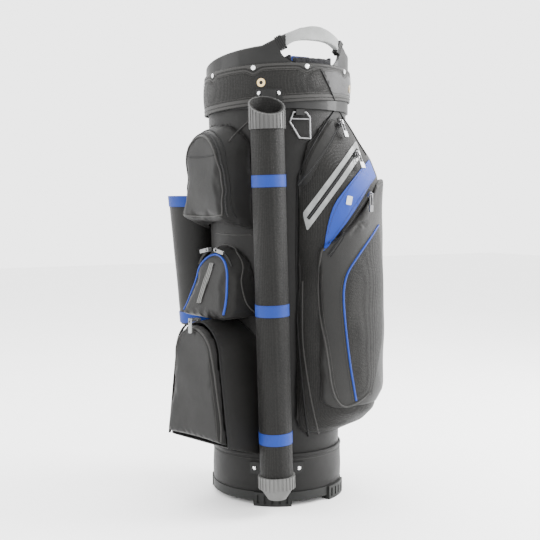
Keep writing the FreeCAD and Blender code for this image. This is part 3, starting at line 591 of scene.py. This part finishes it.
boot = spun("boot_sleeve", [(0.1205, 0.0275), (0.1240, 0.0265), (0.1252, 0.034), (0.1256, 0.052), (0.1250,
                                                            0.072),
                            (0.1243, 0.086), (0.1236, 0.0905), (0.1252, 0.0925), (0.1258, 0.0950), (0.1250,
                                                            0.0975),
                            (0.1225, 0.098), (0.1215, 0.070), (0.1205, 0.040)])
set_piece(boot, "boot_sleeve", "bag", [black_coated], ["base_boot"])


def hoop(radius, z, steps=144):
    """A level ring of (point, outward) round the bag."""
    return [(bearing(360 * k / steps, radius, z), bearing(360 * k / steps, 1.0)) for k in range(steps + 1)]


stitches("boot_stitching", [hoop(0.1243, 0.0868, 200)])
dress(nodes["tube_cup"], moulded("cup plastic", (0.075, 0.075, 0.073)))


# ---------------------------------------------------------------- cover of the tube
# Coated cloth over a stiff liner, drawn tight from the boot to the collar. It eases in and out a little
# between the seams.
shell_low, shell_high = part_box("body_shell")
LINER, EASE = 0.003, 0.0006
FOOT_R, HEAD_R, FOOT_Z, HEAD_Z = 0.1195, (shell_high[0] - shell_low[0]) / 2, shell_low[2], shell_high[2]
levels = [k / 48 for k in range(49)]
outside = [(FOOT_R + (HEAD_R - FOOT_R) * t, FOOT_Z + (HEAD_Z - FOOT_Z) * t) for t in levels]
inside = [(r - LINER, z) for r, z in reversed(outside)]
cover = slack(spun("tube_cover", outside + inside), 0.07, EASE, 1.9)
set_piece(cover, "tube_cover", "bag", [black_coated], ["body_shell"], smooth=80)


# ---------------------------------------------------------------- collar and handle
# One moulding makes the collar, its slanted rim and the arch of the handle. A rolled lip runs round
# the rim, and the arch carries a soft grip with a ribbed clamp at each end.
collar_plastic = moulded("collar plastic", (0.0055, 0.0055, 0.0053), rough=0.42)
dress(nodes["top_collar"], collar_plastic)
RIM_MID, RIM_SLOPE, LIP_RADIUS = 0.827, 0.163, 0.1335
ARCH = ((-118, 815), (-98, 838), (-60, 861), (-28, 875), (0, 880), (28, 875), (60, 861), (98, 838), (118,
                                                            815))


def arch_height(x):
    """Height of the arch's back, in metres, at a distance across."""
    for (x0, z0), (x1, z1) in zip(ARCH, ARCH[1:]):
        if x0 <= x * 1000 <= x1:
            return (z0 + (z1 - z0) * (x * 1000 - x0) / (x1 - x0)) / 1000
    return 0.0


lip = []
for k in range(0, 361, 3):
    spot = bearing(k, LIP_RADIUS)
    rim = RIM_MID - RIM_SLOPE * spot.y
    arch = arch_height(spot.x) if spot.y < 0 else 0.0
    lip.append((bearing(k, LIP_RADIUS, max(rim, arch) + 0.0003), bearing(k, 1.0)))
lip_plastic = moulded("lip plastic", (0.020, 0.020, 0.0195), rough=0.32)
piping("rim_lip", [lip], 0.0030, lip_plastic)

rubber = Finish("soft grip", Sheen_Weight=0.15)
rubber.feed("Base Color", rubber.colours((0.17, 0.175, 0.172), (0.24, 0.245, 0.242), rubber.noise(0.03,
                                                            4.0).between(0.3, 0.7)))
rubber.feed("Roughness", 0.55 + 0.15 * rubber.noise(0.004, 3.0))
rubber.bump(rubber.noise(0.0012, 3.0), 0.00025)
grip = finer(cloth_copy("grip", "handle_grip", 0.0016, smooth=5))
set_piece(grip, "grip", "bag", [rubber], ["handle_grip"])

GRIP_END, ARCH_RADIUS, RIB_DROP, RIB_LEAN = 0.056, 0.1329, 0.0095, math.radians(31)
RIB_START, RIB_PITCH, RIB_SIZE = 0.0015, 0.0026, (0.0022, 0.0116, 0.0265)
for side, sign in (("left", -1), ("right", 1)):
    rings = []
    for k in range(4):
        x = sign * (GRIP_END + RIB_START + RIB_PITCH * k)
        top = arch_height(x)
        y = -math.sqrt(ARCH_RADIUS ** 2 - x * x)
        bpy.ops.object.select_all(action="DESELECT")
        bpy.ops.mesh.primitive_cube_add(size=1.0, location=(x, y, top - RIB_DROP))
        rib = bpy.context.object
        rib.rotation_euler = (0, sign * RIB_LEAN, math.atan2(x, -y))
        rib.scale = RIB_SIZE
        bpy.ops.object.modifier_add(type="BEVEL")
        rib.modifiers[-1].width, rib.modifiers[-1].segments = 0.0008, 2
        bpy.ops.object.modifier_apply(modifier=rib.modifiers[-1].name)
        rings.append(rib)
    clamp = one_piece(*rings)
    set_piece(clamp, "grip_clamp_" + side, "bag", [collar_plastic])

fleece = Finish("brushed fleece", Sheen_Weight=0.06, Sheen_Roughness=0.5, Roughness=0.92)
fleece.feed("Base Color", fleece.colours((0.004, 0.004, 0.005), (0.020, 0.020, 0.022), fleece.noise(0.0016,
                                                            4.0).between(0.3, 0.75)))
fleece.bump(fleece.noise(0.0011, 4.0), 0.0012)
sill = finer(slack(cloth_copy("sill_roll", "sill_pad", 0.0016, smooth=8), 0.006, 0.0008))
set_piece(sill, "sill_roll", "bag", [fleece], ["sill_pad"])
bars = finer(cloth_copy("divider_padding", "divider_frame", 0.0022, smooth=5))
set_piece(bars, "divider_padding", "bag", [fleece], ["divider_frame"])
dress(nodes["divider_trim"], blue_web)


# ---------------------------------------------------------------- cuff
# A padded band of cell cloth sewn round the collar. Piping edges it and dips under each rivet, and a
# panel of smooth coated cloth is let in beside the tall pocket.
CUFF_OUT, CUFF_TOP, CUFF_TOP_SLOPE = 0.1395, 0.806, 0.073
CUFF_LOW, CUFF_LOW_SLOPE, CUFF_LOW_BEARING = 0.7425, 0.0906, 60.0
RIVETS = [-48.0 + 40.0 * k for k in range(9)]


def cuff_limits(angle):
    """(lower, upper) height of the cuff at a bearing."""
    a = math.radians(angle)
    top = CUFF_TOP + CUFF_TOP_SLOPE * 0.141 * math.cos(a)
    low = CUFF_LOW + CUFF_LOW_SLOPE * 0.141 * math.cos(a - math.radians(CUFF_LOW_BEARING))
    return low, top


def scallop(angle):
    """How far the upper piping dips at a bearing."""
    near = min(abs((angle - r + 180) % 360 - 180) for r in RIVETS)
    return 0.0075 * math.exp(-(near / 4.2) ** 2)


# rows of the band: share of its height, how far it stands out, share of the scallop's dip
CUFF_ROWS = ((0.0, -0.0022, 0), (0.0, 0.0006, 0), (0.03, 0.0016, 0), (0.07, 0.0004, 0), (0.09, 0.0014, 0),
             (0.13, 0.0018, 0),
             (0.17, 0.0006, 0), (0.24, 0.0018, 0), (0.38, 0.0030, 0.05), (0.55, 0.0034, 0.2), (0.70,
                                                            0.0030, 0.5), (0.80, 0.0018, 0.9),
             (0.845, 0.0002, 1), (0.865, 0.0012, 1), (0.885, 0.0016, 1), (0.905, 0.0006, 1), (0.925,
                                                            0.0013, 0.7), (0.95, 0.0015, 0.3),
             (0.98, 0.0010, 0), (1.0, 0.0000, 0), (1.0, -0.0022, 0))
CUFF_STEPS = 360
verts, faces = [], []
for k in range(CUFF_STEPS):
    angle = 360.0 * k / CUFF_STEPS
    low, top = cuff_limits(angle)
    for share, out, dips in CUFF_ROWS:
        verts.append(bearing(angle, CUFF_OUT + out * 0.9,
                             low + (top - low) * share - scallop(angle) * dips))
rows = len(CUFF_ROWS)
for k in range(CUFF_STEPS):
    a, b = rows * k, rows * ((k + 1) % CUFF_STEPS)
    faces += [(a + j, b + j, b + (j + 1) % rows, a + (j + 1) % rows) for j in range(rows)]
cuff = outward_faces(new_piece("cuff", verts, faces))
gloss_cloth = coated_cloth("glossy coated cloth", (0.028, 0.028, 0.0285), rough=0.24)
set_piece(cuff, "cuff", "bag", [black_cells, gloss_cloth, piping_grey], ["top_cuff"],
          smooth=70)
SEAM = ((4.6, 0.812), (17.5, 0.758), (24.0, 0.735))


def seam_bearing(z):
    for (a0, z0), (a1, z1) in zip(SEAM, SEAM[1:]):
        if z >= z1:
            return a0 + (a1 - a0) * (z - z0) / (z1 - z0)
    return SEAM[-1][0]


for face in cuff.data.polygons:
    c = face.center
    angle = math.degrees(math.atan2(c.x, -c.y))
    low, top = cuff_limits(angle)
    share = (c.z - low) / (top - low)
    if face.index % rows in (1, 2, 4, 5, 12, 13, 16, 17):
        face.material_index = 2
    elif share > 0.2 and seam_bearing(c.z) < angle < 92 and face.index % rows < 12:
        face.material_index = 1
cuff_skin = skin_of(cuff)
seam_run = line_on(cuff_skin, -30, [(78, 806), (87, 789), (96, 772), (104, 756), (108, 748)], 0.004, 0.0004)
piping("cuff_seam", [seam_run], 0.0014, piping_black)


def cuff_run(share, out, step=1.3):
    run = []
    angle = 0.0
    while angle < 360:
        low, top = cuff_limits(angle)
        run.append((bearing(angle, CUFF_OUT + out,
                            low + (top - low) * share - scallop(angle) * (share > 0.7)), bearing(angle,
                                                            1.0)))
        angle += step
    return run


stitches("cuff_stitching", [cuff_run(0.205, 0.0012), cuff_run(0.815, 0.0022)])

bright = Finish("bright metal", Metallic=1.0, Roughness=0.16)
bright.feed("Base Color", bright.colours((0.62, 0.62, 0.63), (0.82, 0.82, 0.83), bright.noise(0.004)))
brass = Finish("lacquered brass", Metallic=1.0, Roughness=0.24)
brass.feed("Base Color", brass.colours((0.50, 0.36, 0.16), (0.72, 0.56, 0.30), brass.noise(0.005)))
gunmetal = Finish("gunmetal", Metallic=1.0)
gunmetal.feed("Base Color", gunmetal.colours((0.10, 0.10, 0.102), (0.24, 0.24, 0.245),
                                             gunmetal.noise(0.006, 3.0)))
gunmetal.feed("Roughness", 0.24 + 0.2 * gunmetal.noise(0.003))
for name in ("cuff_rivets", "top_bracket_rivets", "cup_bracket_screws"):
    dress(nodes[name], bright)
dress(nodes["cuff_eyelets"], brass)


# ---------------------------------------------------------------- putter tube
# A rigid tube covered in cell cloth with three blue bands. Its mouth ring and foot cup are moulded in
# grey with upright ribs, and two dark brackets hold it to the bag.
dress(nodes["putter_tube"], cell_cloth("tube cloth", (0.0055, 0.0053, 0.0048)))
dress(nodes["mouth_ring"], moulded("ring plastic", (0.045, 0.045, 0.044), rough=0.34))
dress(nodes["tube_bands"], blue_web)
for name in ("top_bracket", "cup_bracket", "towel_tab"):
    dress(nodes[name], collar_plastic)


# ---------------------------------------------------------------- towel ring, sliders and pulls
# The towel ring, the zip sliders and their pulls are die-cast and plated dark. The pull on the ball pocket
# is moulded over with soft rubber.
dress(nodes["towel_ring"], gunmetal)
for name in ("upper_zip", "dry_zip", "lower_zip", "rear_zip"):
    dress(nodes[name + "_slider"], gunmetal)
    dress(nodes[name + "_pull"], gunmetal)
for side in ("left", "right"):
    dress(nodes["accessory_zip_slider_" + side], gunmetal)
    dress(nodes["accessory_zip_pull_" + side], gunmetal)
dress(nodes["ball_zip_slider"], gunmetal)
dress(nodes["ball_zip_pull"], rubber)


# ---------------------------------------------------------------- tall pocket
# Cell cloth sewn over the side of the bag, piped along its edges. Across its upper part run two zips, the
# second in a welded strip, then a blue panel and the slanted top of a padded door with a zip of its own.
FRONT = -30.0
tall = cloth_copy("tall_pocket", "apparel_pocket", 0.005, shrink=0.002, smooth=6)
tall = slack(finer(blow_up(tall, 3.0, 0.004)), 0.045, 0.0022, 0.7)
set_piece(tall, "tall_pocket", "bag", [black_cells], ["apparel_pocket"], smooth=80)
door = cloth_copy("tall_door", "apparel_door", 0.0045, shrink=0.002, smooth=5)
door = slack(finer(blow_up(door, 4.0, 0.004)), 0.05, 0.0012, 2.0)
set_piece(door, "tall_door", "bag", [grey_coated], ["apparel_door"], smooth=80)
tall_skin = skin_of(tall, nodes["body_shell"])
both_skin = skin_of(tall, door, nodes["body_shell"])
EDGE = [(111, 742), (97, 722), (83, 700), (70, 678), (59, 659), (46, 632), (38, 609), (36, 583), (35, 540),
        (35, 496), (35, 440),
        (36, 386), (38, 330), (42, 275), (49, 201), (58, 128)]
piping("tall_edge_piping", [line_on(tall_skin, FRONT, EDGE, lift=0.0005)], 0.0019, piping_black)
piping("tall_gusset_piping", [line_on(tall_skin, FRONT, [(46, 420), (46, 320), (53, 257), (64, 193), (78,
                                                            130)], lift=0.0004)],
       0.0015, piping_grey)
piping("tall_side_piping", [line_on(tall_skin, FRONT, [(111, 742), (125, 723), (141, 699), (156, 672),
                                                       (167, 653)], lift=0.0004)],
       0.0016, piping_black)

yoke = patch_on("tall_yoke_panel", tall_skin, FRONT, [(103, 716), (91, 701), (78, 679), (67, 659), (55,
                                                            633), (48, 612), (46, 592),
                                                      (58, 603), (73, 630), (97, 672), (106,
                                                            694)], 0.0003, 0.0008)
set_piece(yoke, "tall_yoke_panel", "bag", [grey_coated], smooth=60)

ZIP_FACING, ZIP_CENTRE = -15.0, bearing(41.6, 0.088)
shift = ZIP_CENTRE.dot(bearing(ZIP_FACING + 90, 1.0)) * 1000


def slanted(start, end):
    return [(start[0] + shift, start[1]), (end[0] + shift, end[1])]


upper_run = line_on(tall_skin, ZIP_FACING, slanted((-70, 596), (24, 721)), 0.0024, straight=True)
zip_line("upper_zip", upper_run, replaces=["upper_zip_track"])
lower_run = line_on(both_skin, ZIP_FACING, slanted((-22, 468), (68, 588)), 0.0024, straight=True)
zip_line("lower_zip", lower_run, replaces=["lower_zip_track"])

film = Finish("welded film", Coat_Weight=0.4, Coat_Roughness=0.15)
film.feed("Base Color", film.colours((0.11, 0.115, 0.115), (0.20, 0.205, 0.202), film.noise(0.02,
                                                            3.0).between(0.3, 0.7)))
film.feed("Roughness", 0.26 + 0.14 * film.noise(0.006))
film.bump(film.noise(0.004, 2.0), 0.0004)
DRY = [(46, 545), (54, 512), (155, 651), (147, 680)]
strip = patch_on("dry_strip", tall_skin, FRONT, rounded(DRY, 5, 3), 0.0004, 0.0009)
set_piece(strip, "dry_strip", "bag", [film], ["dry_pocket_strip"], smooth=60)
dry_run = line_on(tall_skin, FRONT, [(56, 535), (148, 662)], 0.0024, 0.0011, straight=True)
zip_line("dry_zip", dry_run, width=0.007)

BLUE = [(171, 644), (152, 624), (136, 605), (120, 585), (108, 569), (101, 556), (96, 542), (91, 522), (87,
                                                            500), (84, 477), (94, 487), (104, 500),
        (114, 513), (125, 527), (136, 543), (148, 561), (159, 579), (170, 597), (183, 612)]
blue_panel = patch_on("blue_panel", both_skin, FRONT, BLUE, 0.0006, 0.0014)
set_piece(blue_panel, "blue_panel", "bag", [blue_cloth], smooth=60)
panel_skin = skin_of(tall, door, blue_panel)
label_white = moulded("label", (0.30, 0.31, 0.32), rough=0.5)
label = patch_on("blank_label", panel_skin, FRONT, rounded([(124, 561), (134, 559), (137, 575), (127,
                                                            577)], 2, 3), 0.0003, 0.0008, 0.003)
set_piece(label, "blank_label", "bag", [label_white], smooth=60)
stitches("blue_panel_stitching", [line_on(panel_skin, FRONT, [(165, 633), (131, 592), (104, 548), (91,
                                                            505)], 0.004, 0.0002),
                                  line_on(panel_skin, FRONT, [(176, 606), (142, 560), (118, 524), (92,
                                                            489)], 0.004, 0.0002)])
# Painted shade: a strip of the darkest cloth laid flat over the gap between the blue panel and the door,
# where shade falls.
gap = patch_on("door_gap_painted_shade", both_skin, FRONT, [(101, 496), (112, 509), (125, 526), (146, 557), (171, 598),
                                              (168, 586), (150, 558), (128, 524), (112, 505)],
               0.0002, 0.0006)
set_piece(gap, "door_gap_painted_shade", "bag", [piping_black], smooth=60)

DOOR_EDGE = [(88, 480), (80, 478), (75, 433), (75, 387), (79, 351), (86, 315), (92, 278), (98, 234), (107,
                                                            206), (123, 190), (150, 197), (172, 212)]
BLUE_LINE = [(189, 522), (163, 488), (141, 458), (128, 438), (122, 418), (120, 395), (122, 360), (127,
                                                            314), (134, 262), (145, 200)]
both_skin = skin_of(tall, door)
piping("door_edge_piping", [line_on(both_skin, FRONT, DOOR_EDGE, lift=0.0006)], 0.0020, piping_grey)
piping("door_blue_piping", [line_on(both_skin, FRONT, BLUE_LINE, lift=0.0006)], 0.0019, blue_cloth)
centre = patch_on("door_centre", both_skin, FRONT, BLUE_LINE + [(176, 206), (196, 300), (200, 420)],
                  0.0003, 0.0010)
set_piece(centre, "door_centre", "bag", [black_cells], smooth=60)
stitches("door_stitching", [line_on(both_skin, FRONT, [(x + 6, z) for x, z in DOOR_EDGE[2:9]], 0.004,
                                    0.0003),
                            line_on(both_skin, FRONT, [(x - 5, z - 2) for x, z in BLUE_LINE], 0.004,
                                    0.0003)])


# ---------------------------------------------------------------- pockets on the other side
# From the top: an insulated pocket with a piped round top, a small pocket with a blue edge and two
# sliders, and the ball pocket, whose padded door is zipped round its sides and top.
def door_shape(half_low, half_high, low, high, steps=12):
    """A door's outline in millimetres, up one side, over the round top and down the other."""
    spring = high - half_high
    arc = [(half_high * math.cos(math.pi * k / steps), spring + half_high * math.sin(math.pi * k / steps))
           for k in range(steps + 1)]
    return [(half_low, low)] + [(half_low + (half_high - half_low) * t,
                                 low + (spring - low) * t) for t in (0.25, 0.5, 0.75)] + arc + \
        [(-half_high + (half_high - half_low) * t, spring + (low - spring) * t) for t in (0.25, 0.5,
                                                            0.75)] + [(-half_low, low)]


COOLER = -85.0
cooler = cloth_copy("cooler_pocket_cover", "cooler_pocket", 0.0045, shrink=0.002, smooth=6)
cooler = slack(finer(blow_up(cooler, 3.0, 0.004)), 0.05, 0.0018, 1.2)
set_piece(cooler, "cooler_pocket_cover", "bag", [black_coated], ["cooler_pocket"],
          smooth=80)
cooler_skin = skin_of(cooler, nodes["body_shell"])
piping("cooler_piping", [line_on(cooler_skin, COOLER, door_shape(67, 55, 540, 686), lift=0.0006)], 0.0019,
       piping_grey)
piping("cooler_outer_piping", [line_on(cooler_skin, COOLER, door_shape(76, 64, 536, 698), lift=0.0004)],
       0.0016, piping_black)
zip_line("cooler_zip", line_on(cooler_skin, COOLER, door_shape(71.5, 59.5, 540, 692)[:-3], 0.0026),
         width=0.007)
piping("cooler_seam", [line_on(cooler_skin, COOLER, [(-54, 650), (-20, 648), (20, 648), (54, 650)],
                               lift=0.0002)], 0.0011, piping_black)
piping("cooler_hem", [line_on(cooler_skin, COOLER, [(-67, 541), (-30, 539), (30, 539), (67, 541)],
                              lift=0.0004)], 0.0017, piping_grey)

ACCESSORY = -79.0
small = cloth_copy("small_pocket_cover", "accessory_pocket", 0.004, shrink=0.0015, smooth=6)
small = slack(finer(blow_up(small, 3.0, 0.0035)), 0.04, 0.0014, 2.2)
set_piece(small, "small_pocket_cover", "bag", [black_coated], ["accessory_pocket"],
          smooth=80)
small_skin = skin_of(small, nodes["body_shell"])
piping("small_blue_piping", [line_on(small_skin, ACCESSORY, door_shape(60, 46, 362, 468), lift=0.0006)],
       0.0021, blue_cloth)
piping("small_outer_piping", [line_on(small_skin, ACCESSORY, door_shape(76, 60, 362, 486), lift=0.0004)],
       0.0015, piping_grey)
badge_shape = rounded([(-19, 378), (-6, 378), (4, 452), (-9, 452)], 3, 3)
badge = patch_on("ribbed_badge", small_skin, ACCESSORY, badge_shape, 0.0003, 0.0016, 0.004)
badge_rubber = Finish("badge rubber", Roughness=0.5)
ribs_and_rib_highlight = (badge_rubber.node("ShaderNodeSeparateXYZ", {}, {"Vector": badge_rubber.place()},
                          "Y") * (math.tau / 0.0042)).wave()
# Painted highlight and painted shade: the rib crests are painted light grey and the grooves near black,
# following the ribs of the bump.
badge_rubber.feed("Base Color", badge_rubber.colours((0.025, 0.025, 0.024), (0.14, 0.14, 0.136),
                                                     ribs_and_rib_highlight.between(-0.3, 0.5)))
badge_rubber.bump(ribs_and_rib_highlight, 0.0008)
set_piece(badge, "ribbed_badge", "bag", [badge_rubber], smooth=60)
dress(nodes["accessory_zip_track"], tape_black)

BALL = -77.0
case = cloth_copy("ball_pocket_case", "ball_case", 0.0028, smooth=4)
set_piece(finer(case), "ball_pocket_case", "bag", [black_coated], ["ball_case"], smooth=80)
lid = cloth_copy("ball_pocket_door", "ball_door", 0.004, shrink=0.0015, smooth=4)
lid = slack(finer(blow_up(lid, 4.0, 0.0035)), 0.05, 0.0012, 0.3)
set_piece(lid, "ball_pocket_door", "ball_door", [black_coated], ["ball_door"], smooth=80)
lid_skin = skin_of(lid)
piping("ball_door_piping", [line_on(lid_skin, BALL, door_shape(75, 51, 138, 336), lift=0.0005)], 0.0018,
       piping_grey, "ball_door")
stitches("ball_door_stitching", [line_on(lid_skin, BALL, door_shape(70, 46, 142, 331), 0.004, 0.0003)],
         "ball_door")
dress(nodes["ball_zip_track"], tape_black)


# ---------------------------------------------------------------- seams of the tube
# The tube's cover is cut in panels: a pointed yoke under the cuff and a belt under the insulated pocket.
shell_skin = skin_of(nodes["body_shell"], cooler)
piping("yoke_seam", [line_on(shell_skin, FRONT, [(-88, 674), (-72, 694), (-52, 712)], lift=0.0003)],
       0.0014, piping_grey)
piping("belt_seam", [line_on(skin_of(nodes["body_shell"]), FRONT, [(-116, 507), (-95, 505), (-78, 504),
                                                            (-47, 505)], lift=0.0003)], 0.0013, piping_grey)


# ---------------------------------------------------------------- sleeve, rear pocket, spine
# The umbrella sleeve is one layer of cloth with blue binding at its mouth and foot. Behind are a flat
# zipped pocket, a padded spine and a webbing grab handle.
def band_of(name, node, low, high, thick, finish):
    """A binding cut from a part's outer skin between two heights."""
    piece = nodes[node].copy()
    piece.data = nodes[node].data.copy()
    piece.parent = None
    piece.matrix_world.identity()
    bpy.context.collection.objects.link(piece)
    outward_faces(piece)
    pick(piece)
    bpy.ops.object.mode_set(mode="EDIT")
    bpy.ops.mesh.select_all(action="SELECT")
    bpy.ops.mesh.bisect(plane_co=(0, 0, low), plane_no=(0, 0, 1), clear_inner=True)
    bpy.ops.mesh.select_all(action="SELECT")
    bpy.ops.mesh.bisect(plane_co=(0, 0, high), plane_no=(0, 0, 1), clear_outer=True)
    bpy.ops.mesh.select_all(action="SELECT")
    bpy.ops.transform.shrink_fatten(value=thick * 0.4)
    bpy.ops.object.mode_set(mode="OBJECT")
    bpy.ops.object.modifier_add(type="SOLIDIFY")
    wall = piece.modifiers[-1]
    wall.thickness, wall.offset = thick, 1.0
    bpy.ops.object.modifier_apply(modifier=wall.name)
    return set_piece(piece, name, "bag", [finish], smooth=50)


band_of("sleeve_mouth_binding", "umbrella_sleeve", 0.556, 0.5775, 0.0012, blue_web)
band_of("sleeve_foot_binding", "umbrella_sleeve", 0.3265, 0.348, 0.0012, blue_web)
sleeve = slack(finer(cloth_copy("sleeve_cover", "umbrella_sleeve", 0.0026, smooth=4)), 0.05, 0.0005, 5.0)
set_piece(sleeve, "sleeve_cover", "bag", [black_coated], ["umbrella_sleeve"], smooth=80)

rear = slack(finer(cloth_copy("rear_pocket_cover", "rear_pocket", 0.005, smooth=6)), 0.05, 0.0016, 3.0)
set_piece(rear, "rear_pocket_cover", "bag", [black_coated], ["rear_pocket"], smooth=80)
rear_skin = skin_of(rear)
zip_line("rear_zip", line_on(rear_skin, 132, [(-30.5, 222), (-30.5, 538)], 0.0026, straight=True),
         replaces=["rear_zip_track"])
piping("rear_piping", [line_on(rear_skin, 132, door_shape(49, 39, 160, 602), lift=0.0005)], 0.0018,
       piping_grey)

spine = slack(finer(cloth_copy("spine_padding", "spine_pad", 0.005, smooth=5)), 0.06, 0.0014, 4.0)
set_piece(spine, "spine_padding", "bag", [grey_coated], ["spine_pad"], smooth=80)
web = finer(cloth_copy("grab_webbing", "grab_handle", 0.0022, smooth=4))
set_piece(web, "grab_webbing", "bag", [coated_cloth("black webbing", (0.007, 0.007, 0.007), 0.6, 0.0018)],
          ["grab_handle"])
